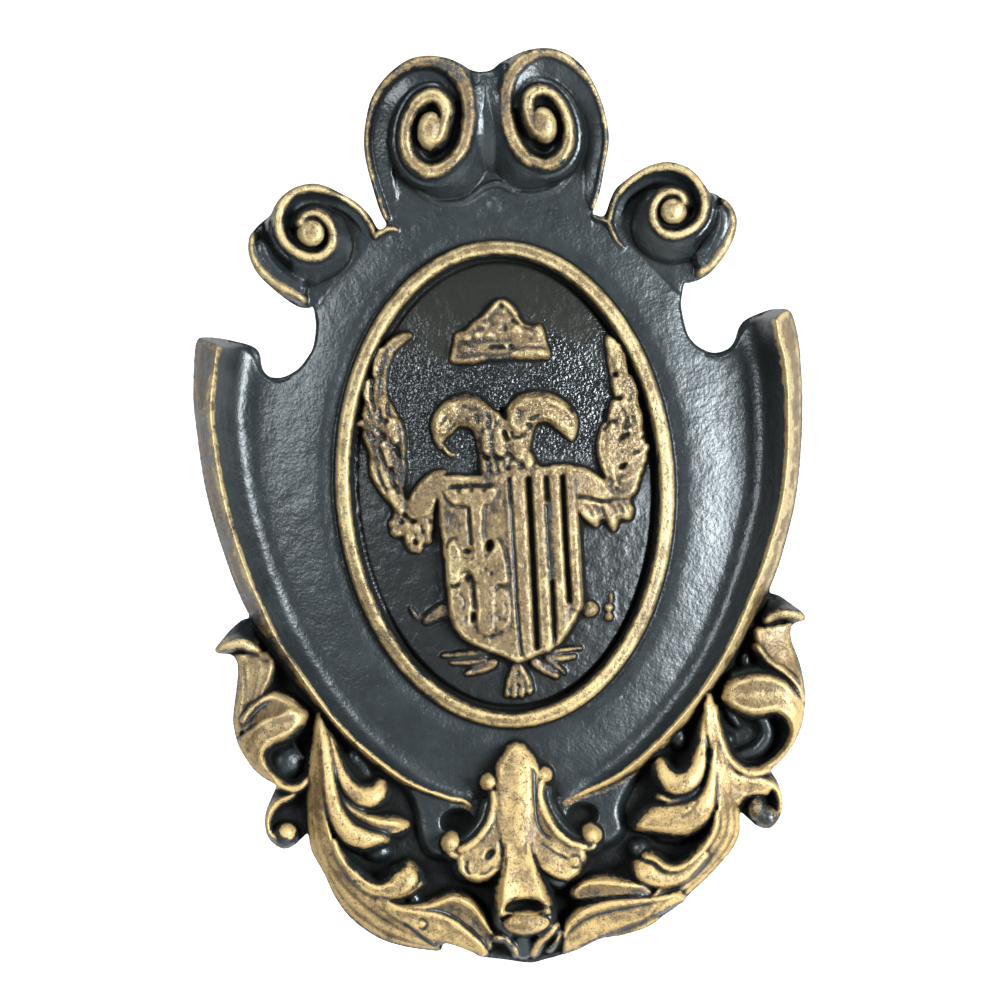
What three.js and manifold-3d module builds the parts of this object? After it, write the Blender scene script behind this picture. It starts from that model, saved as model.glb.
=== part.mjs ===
// Carved coat of arms: a flat-backed wall plaque, cast in one piece and painted.
// A dished cartouche with rolled scrolls carries an oval medallion with a crowned,
// double-headed eagle and its shield, above acanthus leaves and a palmette.
// It is drawn face up, x to the right, y up the plaque and z out of the wall,
// and is then stood up, so that the front faces -Y and the flat back lies at y = 0.
// The origin is on the back, behind the middle of the medallion.

import * as THREE from 'three';
import { mergeVertices } from 'three/addons/utils/BufferGeometryUtils.js';
import Module from 'manifold-3d';

const wasm = await Module();
wasm.setup();

// Driving dimensions, in millimetres
const plaqueHeight = 363;
const plaqueWidth = 242;

// Raised edge of the cartouche
const shoulderRise = 37;
const pointRise = 18;
const shoulderEdge = 15;
const pointEdge = 9;
const bandAtShoulder = 9;
const bandAtPoint = 2.5;
const coveAtShoulder = 15;
const coveAtPoint = 8;
const dishFloor = 13;
const plateBevel = 1.6;

// Oval medallion
const ovalWidth = 135;
const ovalHeight = 194;
const rimWidth = 5.8;
const rimRise = 20;
const rimRounding = 3;
const rimTilt = 0.4;
const grooveWidth = 4.2;
const grooveDepth = 2.8;
const medallionEdge = 13;
const medallionCrown = 18.5;
const eagleRelief = 5.2;
const eagleCrown = 3;
const shieldRelief = 4.6;
const chargeRelief = 1.3;
const chargeRoot = 1;

// Scrolls
const crestGround = 15;
const crestFoot = 16;
const crestChannel = 22;
const crestHollow = 23;
const crestEye = 35;
const scrollGround = 13;
const scrollFoot = 17;
const scrollShoulder = 19.2;
const scrollChannel = 20;
const scrollHollow = 23;
const scrollEye = 31;
const rollRise = 17;
const rollBevel = 2.4;
const knobCrown = 3;

// Leaves and palmette below the cartouche
const leafGround = 8;
const leafRise = 30;
const leafCrown = 3.2;
const neckRise = 14;
const neckBevel = 3;
const palmetteRise = 35;
const palmetteCrown = 3.4;
const flangeCrown = 1.8;

// How far a facet may move where facets are merged, and how far past a face a cut runs
const facetTolerance = 0.12;
const cutPast = 1;

// Recess in the back that takes a nail
const hangerWidth = 11;
const hangerHeight = 22;
const hangerDepth = 7;
const hangerAbove = 84;

// The free carving is drawn on a board 242 shares wide and 363 shares high,
// so that one share is a millimetre at the plaque's real size.
const acrossShare = plaqueWidth / 242;
const upShare = plaqueHeight / 363;
const at = (side, x, y) => new THREE.Vector2(side * x * acrossShare, y * upShare);
const SIDES = [-1, 1];

// Smooth run through stations of any number of values, with so many steps in each span
function smoothRun(stations, steps, closed = false) {
  const count = stations.length;
  const pick = (i) => stations[closed ? (i + count) % count : Math.min(Math.max(i, 0), count - 1)];
  const run = [];
  const spans = closed ? count : count - 1;
  for (let i = 0; i < spans; i += 1) {
    const [before, from, to, after] = [pick(i - 1), pick(i), pick(i + 1), pick(i + 2)];
    for (let j = 0; j < steps; j += 1) {
      const t = j / steps;
      run.push(from.map((value, k) => {
        const slopeFrom = (to[k] - before[k]) / 2;
        const slopeTo = (after[k] - value) / 2;
        const bend = 2 * value - 2 * to[k] + slopeFrom + slopeTo;
        const sag = -3 * value + 3 * to[k] - 2 * slopeFrom - slopeTo;
        return value + t * (slopeFrom + t * (sag + t * bend));
      }));
    }
  }
  if (!closed) run.push(stations[count - 1].slice());
  return run;
}

// Closed outline in the plane of the board, through hand-placed points of one side
function outlineOf(side, points, steps = 2) {
  const outline = smoothRun(points, steps, true).map(([x, y]) => at(side, x, y));
  return THREE.ShapeUtils.isClockWise(outline) ? outline.reverse() : outline;
}

// Closed outline whose right half is given, with its mirror image as its left half
function mirroredOutline(rightHalf, steps = 2) {
  const right = smoothRun(rightHalf, steps).map(([x, y]) => at(1, x, y));
  const left = right.map((point) => new THREE.Vector2(-point.x, point.y)).reverse();
  const outline = [...right, ...left.filter((point) => point.x !== 0)];
  return THREE.ShapeUtils.isClockWise(outline) ? outline.reverse() : outline;
}

// The same outline moved inwards by a distance
function insetOutline(outline, distance) {
  const count = outline.length;
  return outline.map((point, i) => {
    const along = outline[(i + 1) % count].clone().sub(outline[(i + count - 1) % count]);
    along.normalize();
    return new THREE.Vector2(point.x - along.y * distance, point.y + along.x * distance);
  });
}

function capFaces(loop) {
  const box = new THREE.Box3().setFromPoints(loop);
  const size = box.getSize(new THREE.Vector3());
  const axes = ['x', 'y', 'z'].sort((a, b) => size[b] - size[a]).slice(0, 2);
  const flat = loop.map((point) => new THREE.Vector2(point[axes[0]], point[axes[1]]));
  const clockwise = THREE.ShapeUtils.isClockWise(flat);
  const order = loop.map((_, i) => i);
  if (clockwise) {
    flat.reverse();
    order.reverse();
  }
  return THREE.ShapeUtils.triangulateShape(flat, []).map((face) => {
    const corners = face.map((i) => order[i]);
    return clockwise ? corners.reverse() : corners;
  });
}

function solidFrom(positions, faces) {
  const geometry = new THREE.BufferGeometry();
  geometry.setAttribute('position', new THREE.Float32BufferAttribute(positions, 3));
  geometry.setIndex(faces);
  const merged = mergeVertices(geometry, 1e-4);
  const mesh = new wasm.Mesh({
    numProp: 3,
    vertProperties: new Float32Array(merged.attributes.position.array),
    triVerts: new Uint32Array(merged.index.array),
  });
  return new wasm.Manifold(mesh);
}

// Solid skin over a row of closed loops with the same number of points
function skin(loops) {
  const count = loops[0].length;
  const points = loops.flat();
  const faces = [];
  for (let row = 0; row + 1 < loops.length; row += 1) {
    for (let i = 0; i < count; i += 1) {
      const a = row * count + i;
      const b = row * count + ((i + 1) % count);
      faces.push([a, b, b + count], [a, b + count, a + count]);
    }
  }
  const last = points.length - count;
  const sameWay = loopTurn(loops[0]);
  capFaces(loops[0]).forEach((face) => faces.push(orient(face, loops[0], sameWay, false)));
  const top = loops[loops.length - 1];
  const topWay = loopTurn(top);
  capFaces(top).forEach((face) => {
    faces.push(orient(face, top, topWay, true).map((i) => i + last));
  });
  let volume = 0;
  faces.forEach(([a, b, c]) => {
    volume += points[a].dot(points[b].clone().cross(points[c])) / 6;
  });
  const index = faces.flatMap((face) => (volume < 0 ? [...face].reverse() : face));
  return solidFrom(points.flatMap((point) => point.toArray()), index);
}

// Area vector of a loop, which tells the way it turns
function loopTurn(loop) {
  const turn = new THREE.Vector3();
  loop.forEach((point, i) => turn.add(point.clone().cross(loop[(i + 1) % loop.length])));
  return turn;
}

function orient(face, loop, turn, withLoop) {
  const [a, b, c] = face.map((i) => loop[i]);
  const normal = b.clone().sub(a).cross(c.clone().sub(a));
  return normal.dot(turn) > 0 === withLoop ? face : [...face].reverse();
}

const lift = (outline, z) => outline.map(({ x, y }) => {
  return new THREE.Vector3(x, y, typeof z === 'function' ? z(x, y) : z);
});

// Flat plate with a bevelled front edge, from its base up to its front
function plate(outline, height, bevel, base = 0) {
  const level = typeof height === 'function' ? height : () => height;
  return skin([
    lift(outline, base),
    lift(outline, (x, y) => level(x, y) - bevel),
    lift(insetOutline(outline, bevel * 0.7), level),
  ]);
}

// Rounded mass that draws in towards one point, through pairs of share and height
function mound(outline, centre, levels) {
  return skin(levels.map(([share, z]) => lift(
    outline.map((point) => centre.clone().lerp(point, share)),
    z,
  )));
}

// Shapes of a carved strip across its width: share of the half width, share of its drop
const ROUND = [[-1, 1], [-0.5, 0.15], [0.5, 0.15], [1, 1]];
const RIDGE = [[-1, 1], [0, 0], [1, 1]];
const LIP = [[-0.75, 0], [0.75, 0]];
const VEINED = [[-1, 1], [-0.5, 0], [0, 0.6], [0.5, 0], [1, 1]];

// Carved strip along stations of x, y, half width and share of its rise
function strip(side, stations, form) {
  const { rise, drop = 0, across = ROUND, steps = 2, base = 0, ground = () => 0 } = form;
  const run = smoothRun(stations, steps);
  const middle = run.map(([x, y]) => at(side, x, y));
  const loops = run.map(([, , halfWidth, share], i) => {
    const before = middle[Math.max(i - 1, 0)];
    const after = middle[Math.min(i + 1, run.length - 1)];
    const along = after.clone().sub(before).normalize();
    const half = halfWidth * acrossShare;
    const place = (s, z) => {
      const x = middle[i].x - along.y * half * s;
      const y = middle[i].y + along.x * half * s;
      return new THREE.Vector3(x, y, z(x, y));
    };
    const crest = across.map(([s, fall]) => place(s, (x, y) => (
      Math.max(ground(x, y) + rise * share - drop * fall, base + 0.5)
    )));
    return [place(-1, () => base), ...crest, place(1, () => base)];
  });
  return skin(loops);
}

const joinAll = (parts) => parts.reduce((whole, part) => whole.add(part));

// Cartouche: raised edge, cove and dished floor, swept between its left and right edges
function cartouche() {
  const edge = [
    [119, 65.5], [121.2, 48], [120.5, 20], [116, -8], [110.5, -30], [103.5, -47],
    [97.5, -58.5], [79, -84.5], [63, -101], [46.8, -114], [28, -124.3], [17, -128],
  ];
  const run = smoothRun(edge, 2).map(([x, y]) => at(1, x, y));
  const coveSteps = 4;
  const loops = run.map((point, i) => {
    const share = i / (run.length - 1);
    const before = run[Math.max(i - 1, 0)];
    const after = run[Math.min(i + 1, run.length - 1)];
    const along = after.clone().sub(before).normalize();
    const inward = (distance) => new THREE.Vector2(
      point.x + along.y * distance,
      point.y - along.x * distance,
    );
    const band = THREE.MathUtils.lerp(bandAtShoulder, bandAtPoint, share);
    const cove = THREE.MathUtils.lerp(coveAtShoulder, coveAtPoint, share);
    const crest = THREE.MathUtils.lerp(shoulderRise, pointRise, share ** 1.3);
    const outer = THREE.MathUtils.lerp(shoulderEdge, pointEdge, share);
    const half = [[point, 0], [point, outer], [inward(band), crest]];
    for (let k = 1; k <= coveSteps; k += 1) {
      const s = k / coveSteps;
      half.push([inward(band + cove * s), dishFloor + (crest - dishFloor) * (1 - s) ** 2.4]);
    }
    const right = half.map(([{ x, y }, z]) => new THREE.Vector3(x, y, z));
    const left = right.map(({ x, y, z }) => new THREE.Vector3(-x, y, z)).reverse();
    return [...right, ...left];
  });
  return skin(loops);
}

// Hollow between a shoulder and a side scroll, wider at the front than at the back
function notch(side) {
  const atBack = [
    [72.8, 76], [73, 66], [75, 57], [79, 51.5], [84, 48.9], [89, 48.4], [92.8, 50],
    [94.8, 53.5], [96.5, 59], [101, 62.3], [109, 64.4], [119, 65.2],
  ];
  const atFront = [
    [71, 76], [71.2, 65], [73, 56.5], [77.5, 50.3], [83, 47], [89, 46], [94, 46.6],
    [98.5, 48.6], [102.5, 52], [106, 57], [110.5, 62.5], [119, 64.6],
  ];
  const [outside, above] = [130, 90];
  const ring = (points, z) => {
    const curve = smoothRun(points, 2);
    const last = points[points.length - 1];
    const open = [[outside, last[1]], [outside, above], [points[0][0], above]];
    return lift([...curve, ...open].map(([x, y]) => at(side, x, y)), z);
  };
  return skin([
    ring(atBack, -cutPast),
    ring(atBack, shoulderEdge / 3),
    ring(atFront, shoulderRise + cutPast),
  ]);
}

// Plain plate that carries the crest and side scrolls above the medallion
function upperPlate() {
  const outline = mirroredOutline([
    [0, 30], [60, 34], [72.5, 50], [73.2, 62], [73.3, 74], [70, 90], [56, 101],
    [43, 106], [42, 118], [0, 124],
  ], 1);
  return plate(outline, dishFloor, plateBevel);
}

// Oval moulding and domed medallion, as rings that step in from the outer edge
const ovalHalfWidth = ovalWidth / 2;
const ovalHalfHeight = ovalHeight / 2;
const fieldInset = rimWidth + grooveWidth;

function ovalRing(inset, z, segments = 52) {
  const ring = [];
  for (let i = 0; i < segments; i += 1) {
    const turn = (2 * Math.PI * i) / segments;
    const x = Math.cos(turn) * (ovalHalfWidth - inset);
    const y = Math.sin(turn) * (ovalHalfHeight - inset);
    ring.push(new THREE.Vector3(x, y, typeof z === 'function' ? z(x, y) : z));
  }
  return ring;
}

// Height of the medallion's domed field at a point
function field(x, y) {
  const halfWidth = ovalHalfWidth - fieldInset;
  const halfHeight = ovalHalfHeight - fieldInset;
  const out = Math.min((x / halfWidth) ** 2 + (y / halfHeight) ** 2, 1);
  return medallionEdge + (medallionCrown - medallionEdge) * (1 - out);
}

function ovalSeat() {
  const bottom = dishFloor - grooveDepth;
  return skin([
    ovalRing(0, bottom),
    ovalRing(-grooveWidth * 0.35, bottom),
    ovalRing(-grooveWidth, dishFloor),
    ovalRing(-grooveWidth, dishFloor + grooveDepth),
  ]);
}

function medallion() {
  const bottom = dishFloor - grooveDepth;
  const rings = [
    ovalRing(0, dishFloor / 2),
    ovalRing(0, rimRise - rimRounding),
    ovalRing(rimWidth * 0.25, rimRise - rimTilt),
    ovalRing(rimWidth * 0.75, rimRise),
    ovalRing(rimWidth, rimRise - rimRounding),
    ovalRing(rimWidth + grooveWidth * 0.4, bottom),
    ovalRing(fieldInset, field),
  ];
  const inner = fieldInset + (ovalHalfWidth - fieldInset) * 0.6;
  return skin([...rings, ovalRing(inner, field)]);
}

// Strip and plate of the eagle, standing on the domed field
const onField = {
  rise: eagleRelief,
  drop: eagleCrown,
  across: RIDGE,
  steps: 1,
  ground: field,
  base: medallionEdge - grooveDepth,
};
const fieldPlate = (outline, rise) => plate(
  outline,
  (x, y) => field(x, y) + rise,
  rise * 0.4,
  onField.base,
);

// Wing: a raised vane with slanting feathers and a fan of short feathers at its foot
function wing(side) {
  const vane = fieldPlate(outlineOf(side, [
    [37, 60], [46, 55.5], [52, 42], [55.5, 24], [55, 6], [50.5, -9], [40, -13],
    [30, -9], [31, 3], [37.5, 8], [39, 24], [43, 38], [42, 50],
  ], 1), eagleRelief * 0.5);
  const feathers = [];
  const rows = 6;
  for (let row = 0; row < rows; row += 1) {
    const share = row / (rows - 1);
    const y = THREE.MathUtils.lerp(52, 8, share);
    const bow = Math.sin(Math.PI * (0.3 + 0.6 * share));
    const inner = 39 + 4 * Math.cos(Math.PI * share * 0.9);
    feathers.push(strip(side, [
      [inner + 1, y + 6, 1.6, 0.8], [inner + 4, y - 2, 2.8, 1], [42 + 11.5 * bow, y - 12, 0.8, 0.6],
    ], onField));
  }
  const tips = [[30, -14.5], [37, -18], [44.5, -18], [50.5, -10.5]];
  for (const [x, y] of tips) {
    feathers.push(strip(side, [
      [39, 0, 2.2, 1], [(39 + x) / 2, y / 2, 3.1, 1], [x, y, 0.7, 0.5],
    ], onField));
  }
  const limb = strip(side, [[24, 5, 2.4, 0.8], [31, 4.5, 2.8, 1], [38, -2, 3.2, 1]], onField);
  return joinAll([vane, limb, ...feathers]);
}

// Head: a crested arch that rises from the neck and ends in a hooked beak
function head(side) {
  return strip(side, [
    [4, 6, 5.5, 0.9], [4.5, 20, 5, 1], [7, 30, 4.6, 1.1], [14, 33.4, 4, 1.15],
    [21.5, 31, 4.2, 1.1], [26, 25, 3, 0.9], [27.3, 17.5, 0.7, 0.5],
  ], { ...onField, across: ROUND });
}

// Crown: a peaked cap on a plain band
function crown() {
  const cap = fieldPlate(
    mirroredOutline([[0, 74.5], [9, 67], [17.5, 62.5], [18.5, 50], [0, 50]], 1),
    eagleRelief * 0.7,
  );
  const bands = [50.8, 57].map((y) => strip(1, [
    [-18.5, y, 1.4, 1], [0, y, 1.6, 1.1], [18.5, y, 1.4, 1],
  ], onField));
  const balls = [-12, -4, 4, 12].map((x) => strip(1, [
    [x, 65 - Math.abs(x) / 3, 0.8, 0.8], [x, 62, 2, 1.1], [x, 59.6, 0.8, 0.7],
  ], onField));
  return joinAll([cap, ...bands, ...balls]);
}

// Shield: a pointed plate with a tower over a castle on one half and pales on the other
function shield() {
  const front = medallionCrown + shieldRelief;
  const blank = plate(mirroredOutline([
    [0, 4.5], [26.6, 4], [27.3, -20], [26.6, -48], [22, -56.5], [12, -64], [0, -69],
  ], 1), front, shieldRelief / 4, onField.base);
  const charge = {
    rise: front + chargeRelief,
    across: LIP,
    steps: 1,
    base: front - chargeRoot,
  };
  const bar = (x0, y0, x1, y1, half) => strip(1, [[x0, y0, half, 1], [x1, y1, half, 1]], charge);
  const tower = [
    bar(-22.5, -5.4, -5, -5.4, 2.4),
    bar(-13.75, -6, -13.75, -23.5, 5.2),
    ...[-21, -16.2, -11.3, -6.5].map((x) => bar(x, -0.8, x, -4, 1.6)),
  ];
  const castle = [
    bar(-24, -33, -3.5, -33, 4.2),
    bar(-19.8, -36, -19.8, -54, 5),
    bar(-7.4, -36, -7.4, -59, 4.4),
    bar(-20, -53, -8, -53, 1.4),
    ...[-22.3, -16.6, -10.9, -5.2].map((x) => bar(x, -25, x, -31, 1.8)),
  ];
  const pales = [];
  const paleCount = 4;
  const palePitch = 6.6;
  for (let i = 0; i < paleCount; i += 1) {
    const x = 5 + palePitch * i;
    pales.push(bar(x, 2.5, x, -66 + x * 0.55 + i * 1.2, palePitch * 0.36));
  }
  return joinAll([blank, ...tower, ...castle, ...pales]);
}

// Feet, tail and twigs that show around the shield
function lowerEagle() {
  const tail = [-4.6, 0.6, 5.6].map((x) => strip(1, [
    [1 + x * 0.1, -66, 2, 0.8], [1 + x * 0.5, -75, 2.4, 1], [1 + x, -84, 0.8, 0.5],
  ], onField));
  const toes = [];
  for (const side of SIDES) {
    for (const [x, y] of [[27, -66], [23, -71], [17, -76]]) {
      toes.push(strip(side, [
        [6, -62, 2, 0.8], [(8 + x) / 2 + 1, (y - 66) / 2, 2, 0.9], [x, y, 0.9, 0.6],
      ], onField));
    }
    toes.push(strip(side, [[23, -50, 2.5, 0.8], [31, -51, 3.2, 0.9], [40, -46, 1, 0.5]], onField));
  }
  return joinAll([...tail, ...toes]);
}

// Crest: two large volutes side by side on one plate
function crest() {
  const ground = plate(mirroredOutline([
    [0, 100], [30, 100], [42.5, 105.5], [44.6, 113], [47.5, 126], [48.6, 139], [46.7, 150.5],
    [41, 161.5], [32, 169.3], [22, 172.4], [12.5, 170.3], [5.5, 166.8], [0, 164.6],
  ]), crestGround, plateBevel);
  const volutes = SIDES.map((side) => {
    const eye = at(side, 22.5, 145);
    const drum = outlineOf(side, [
      [36, 131], [30, 118.5], [20, 114.2], [9, 114.4], [-0.5, 119.5], [-0.5, 141], [3, 158],
      [12, 164], [22, 160.5], [31, 156], [36, 144],
    ], 1);
    const body = mound(drum, eye, [
      [1, crestGround / 2], [1, crestFoot], [0.82, crestChannel], [0.5, crestHollow],
    ]);
    const lip = strip(side, [
      [42.3, 106, 1.3, 0.46], [46.2, 124, 1.2, 0.56], [47.2, 139, 1.2, 0.62], [44, 153, 1.6, 0.68],
      [36.5, 164, 2, 0.74], [23.5, 169.8, 2.3, 0.78], [11.5, 165.3, 2.6, 0.8], [7.7, 152, 2.6, 0.82],
      [9, 140.5, 2.4, 0.84], [14, 131, 2.4, 0.85], [21.8, 127, 2.3, 0.86], [29.5, 130.5, 2.2, 0.88],
      [32, 140, 2.2, 0.91], [29.5, 150.5, 2.2, 0.94], [22.5, 155.3, 2.2, 0.96],
      [16, 149.5, 2.1, 0.98], [17, 141.5, 2, 0.99], [21.5, 139.5, 1.6, 1],
    ], { rise: crestEye, across: LIP, base: crestGround / 2 });
    const knob = strip(side, [
      [22, 137.5, 1.5, 0.9], [23, 141, 3.6, 0.98], [23, 148, 3.8, 1], [22, 152, 1.2, 0.93],
    ], { rise: crestEye, drop: knobCrown, base: crestGround / 2 });
    return joinAll([body, lip, knob]);
  });
  return joinAll([ground, ...volutes]);
}

// Side scroll: a small volute with a plain roll behind it
function sideScroll(side) {
  const eye = at(side, 71.8, 105.3);
  const ground = plate(outlineOf(side, [
    [40, 104], [47, 107.5], [54, 117], [66, 123.9], [77, 122.8], [84.2, 117], [87.2, 112],
    [94, 108.2], [97.2, 101.5], [95, 91], [85.5, 80.3], [76, 76], [73, 68], [64, 72], [54, 90],
  ]), scrollGround, plateBevel);
  const drum = mound(outlineOf(side, [
    [51.5, 106], [58, 116], [67, 121.2], [76.5, 120], [83, 114], [85, 106], [82, 97.5],
    [73, 91.5], [63, 90.5], [57, 97],
  ], 1), eye, [
    [1, scrollGround / 2], [1, scrollFoot], [0.88, scrollShoulder],
    [0.55, scrollChannel], [0.3, scrollHollow],
  ]);
  const lip = strip(side, [
    [41.5, 105.5, 1.2, 0.5], [47.8, 103, 1.3, 0.58], [49.6, 109, 1.2, 0.62], [55, 115.7, 1.3, 0.68],
    [63, 121, 1.4, 0.74], [71.5, 122.6, 1.5, 0.79], [79, 119.9, 1.5, 0.82], [83.5, 114.6, 1.3, 0.83],
    [84.8, 107.5, 1.1, 0.84], [82, 100.5, 1.1, 0.85], [77, 96, 1.1, 0.86], [70.5, 94.3, 1.1, 0.87],
    [64.5, 97, 1.1, 0.88], [62.3, 102.5, 1.1, 0.9], [65, 109, 1.1, 0.92], [71, 112.9, 1.1, 0.94],
    [76.4, 110, 1.1, 0.96], [76.5, 104, 1, 0.98], [72.5, 101.3, 0.9, 1],
  ], { rise: scrollEye, across: LIP, steps: 1, base: scrollGround / 2 });
  const knob = strip(side, [
    [71, 101, 1.2, 0.9], [71.8, 104, 3.2, 1], [72, 107, 3.2, 1], [72, 109.5, 1, 0.9],
  ], { rise: scrollEye, drop: knobCrown, base: scrollGround / 2 });
  const roll = plate(outlineOf(side, [
    [84, 110], [92.5, 107], [95.5, 101.5], [93.2, 92], [84.5, 82], [76, 78.6], [76, 84], [82, 92],
  ], 1), rollRise, rollBevel, scrollGround / 2);
  const rollLip = strip(side, [
    [87, 111, 0.9, 0.6], [94, 106.5, 1.3, 0.68], [95.8, 101, 1.5, 0.7], [93.6, 92.5, 1.5, 0.7],
    [86, 83, 1.4, 0.68], [76, 77.8, 1, 0.6],
  ], { rise: scrollEye, across: LIP, steps: 1, base: scrollGround / 2 });
  return joinAll([ground, drum, lip, knob, roll, rollLip]);
}

// Black ground that carries the leaves, with the neck of the cartouche over its middle
function lowerGround() {
  const plain = plate(mirroredOutline([
    [0, -95], [70, -70], [96, -52], [103.5, -48], [116.8, -58.5], [110.5, -63.5], [111.5, -73],
    [113.8, -88], [110, -102], [101, -115], [102.2, -124], [102.3, -133], [96, -140],
    [87.5, -134.5], [84.5, -143], [78, -153.5], [69, -164], [57, -173.5], [44, -180], [34, -182],
    [20, -187], [6, -188], [0, -190.5],
  ], 1), leafGround, plateBevel);
  const neck = plate(mirroredOutline([
    [0, -110], [40, -112], [46, -118], [42, -130], [40, -143], [27, -150], [17, -160], [0, -172],
  ]), neckRise, neckBevel, leafGround / 2);
  return joinAll([plain, neck]);
}

// One side's acanthus leaves, each strip from its root to its tip
function leaves(side) {
  const leaf = { rise: leafRise, drop: leafCrown, steps: 1, base: leafGround / 2 };
  const veined = { ...leaf, across: VEINED };
  const lip = { ...leaf, across: LIP };
  return joinAll([
    strip(side, [
      [97, -60, 2, 0.6], [105, -56.5, 2.6, 0.72], [112, -57, 2.2, 0.7], [117, -59, 0.9, 0.6],
    ], leaf),
    strip(side, [
      [103, -59, 6.5, 0.72], [104, -69, 6.6, 0.78], [107, -79, 4.8, 0.74], [112, -91, 1, 0.66],
    ], veined),
    strip(side, [
      [84.5, -87, 2.4, 0.9], [92, -87, 5, 1], [101, -89, 5.5, 1], [108, -96, 4.2, 0.9],
      [108, -105, 2.6, 0.8], [102, -113, 1.6, 0.74], [93.5, -117, 1.2, 0.7], [85, -113.5, 1.1, 0.7],
    ], veined),
    strip(side, [
      [89, -80.5, 1, 0.6], [97, -80.3, 2.6, 0.8], [105, -85, 2.4, 0.82], [111.5, -93, 1, 0.7],
    ], leaf),
    strip(side, [
      [88, -119, 1.1, 0.6], [96, -120.5, 1.5, 0.66], [101.2, -127, 1.1, 0.62], [100, -134.5, 1, 0.6],
    ], lip),
    strip(side, [[98, -135, 1.5, 0.6], [94.5, -134.8, 4.2, 0.7], [91, -133, 1.5, 0.6]], leaf),
    strip(side, [
      [77.8, -88, 2.2, 0.6], [78.8, -105, 3.6, 0.76], [81, -120, 4.4, 0.86], [81, -133, 4.6, 0.88],
      [77.5, -145, 5, 0.84], [70, -156, 5.4, 0.8], [58, -166, 5.2, 0.74], [45, -174, 4.4, 0.68],
      [35, -180.5, 1.4, 0.5],
    ], veined),
    strip(side, [
      [76.5, -96, 1.6, 0.6], [76, -112, 2.6, 0.84], [74, -125, 3.8, 0.96], [67, -133.5, 5.6, 1],
      [58, -136, 5, 0.9], [49, -136, 1.4, 0.62],
    ], veined),
    strip(side, [
      [74.5, -95, 1.4, 0.6], [72, -109, 2.4, 0.8], [67.5, -118, 3.8, 0.92], [61, -120.5, 4.2, 0.92],
      [56, -116, 2, 0.7],
    ], leaf),
    strip(side, [
      [70, -119, 1, 0.6], [65, -126.5, 1.7, 0.78], [55, -130, 2, 0.74], [46, -133, 0.9, 0.5],
    ], leaf),
    strip(side, [
      [77, -138, 1.5, 0.7], [71, -149, 2.8, 0.8], [63, -156.5, 3, 0.8], [54.5, -158.8, 3.8, 0.84],
      [47.5, -154, 5.2, 0.88], [45.5, -148, 2.2, 0.62],
    ], leaf),
    strip(side, [
      [66, -160, 2, 0.6], [52, -166, 3.6, 0.76], [40, -169.5, 5, 0.8], [29, -174.5, 6, 0.76],
      [19, -182, 3, 0.5],
    ], veined),
    strip(side, [
      [48, -164.5, 1, 0.5], [38, -162.3, 2.6, 0.64], [28, -163, 3.6, 0.66], [20, -167, 2.6, 0.5],
    ], leaf),
  ]);
}

// Palmette: a stem between two curling flanges, over a roll and the leaf tips below it
function palmette() {
  const form = { rise: palmetteRise, drop: palmetteCrown, steps: 1, base: leafGround / 2 };
  const stem = strip(1, [
    [-1, -103, 2.6, 0.7], [-1.2, -109, 6.2, 0.84], [-1.6, -122, 6.2, 0.9], [-2, -140, 6.2, 0.96],
    [-1.5, -154, 7.6, 1], [-1, -163.5, 8.8, 1],
  ], form);
  const roll = strip(1, [[-9.5, -171, 2.6, 0.72], [-1, -172.5, 5, 0.86], [7.5, -171, 2.6, 0.72]], form);
  const sides = SIDES.flatMap((side) => [
    strip(side, [
      [11.5, -115.5, 2.2, 0.64], [8, -117.5, 1.6, 0.72], [8, -126, 1.6, 0.76], [10.5, -134, 1.8, 0.76],
      [16.5, -140.5, 1.9, 0.74], [23.5, -144, 1.9, 0.7], [29, -142.5, 3, 0.72], [29, -138, 2.4, 0.66],
    ], { ...form, drop: flangeCrown }),
    strip(side, [
      [4, -138, 3.4, 0.8], [11.5, -145, 5, 0.86], [19.5, -151.5, 3.8, 0.78],
    ], { ...form, across: VEINED }),
    strip(side, [[13, -175, 1.6, 0.44], [7, -181, 2.4, 0.5], [1, -187.5, 2.2, 0.44]], form),
  ]);
  return joinAll([stem, roll, ...sides]);
}

// Arched recess cut into the back, open towards the wall
function hangerRecess() {
  const half = hangerWidth / 2;
  const shape = new THREE.Shape();
  shape.moveTo(-half, hangerAbove - hangerHeight);
  shape.lineTo(half, hangerAbove - hangerHeight);
  shape.lineTo(half, hangerAbove - half);
  shape.absarc(0, hangerAbove - half, half, 0, Math.PI, false);
  shape.closePath();
  const geometry = new THREE.ExtrudeGeometry(shape, {
    depth: hangerDepth + cutPast,
    bevelEnabled: false,
    curveSegments: 8,
  });
  geometry.translate(0, 0, -cutPast);
  geometry.deleteAttribute('normal');
  geometry.deleteAttribute('uv');
  const merged = mergeVertices(geometry, 1e-4);
  return solidFrom(Array.from(merged.attributes.position.array), Array.from(merged.index.array));
}

function casting() {
  const hollowed = SIDES.reduce((body, side) => body.subtract(notch(side)), cartouche());
  const grounds = joinAll([hollowed, upperPlate(), lowerGround()]);
  const seated = grounds.subtract(ovalSeat());
  const carved = joinAll([
    seated, medallion(), crown(), ...SIDES.map(wing), ...SIDES.map(head), lowerEagle(), shield(),
    crest(), ...SIDES.map(sideScroll), ...SIDES.map(leaves), palmette(),
  ]);
  return carved.subtract(hangerRecess());
}

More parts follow.
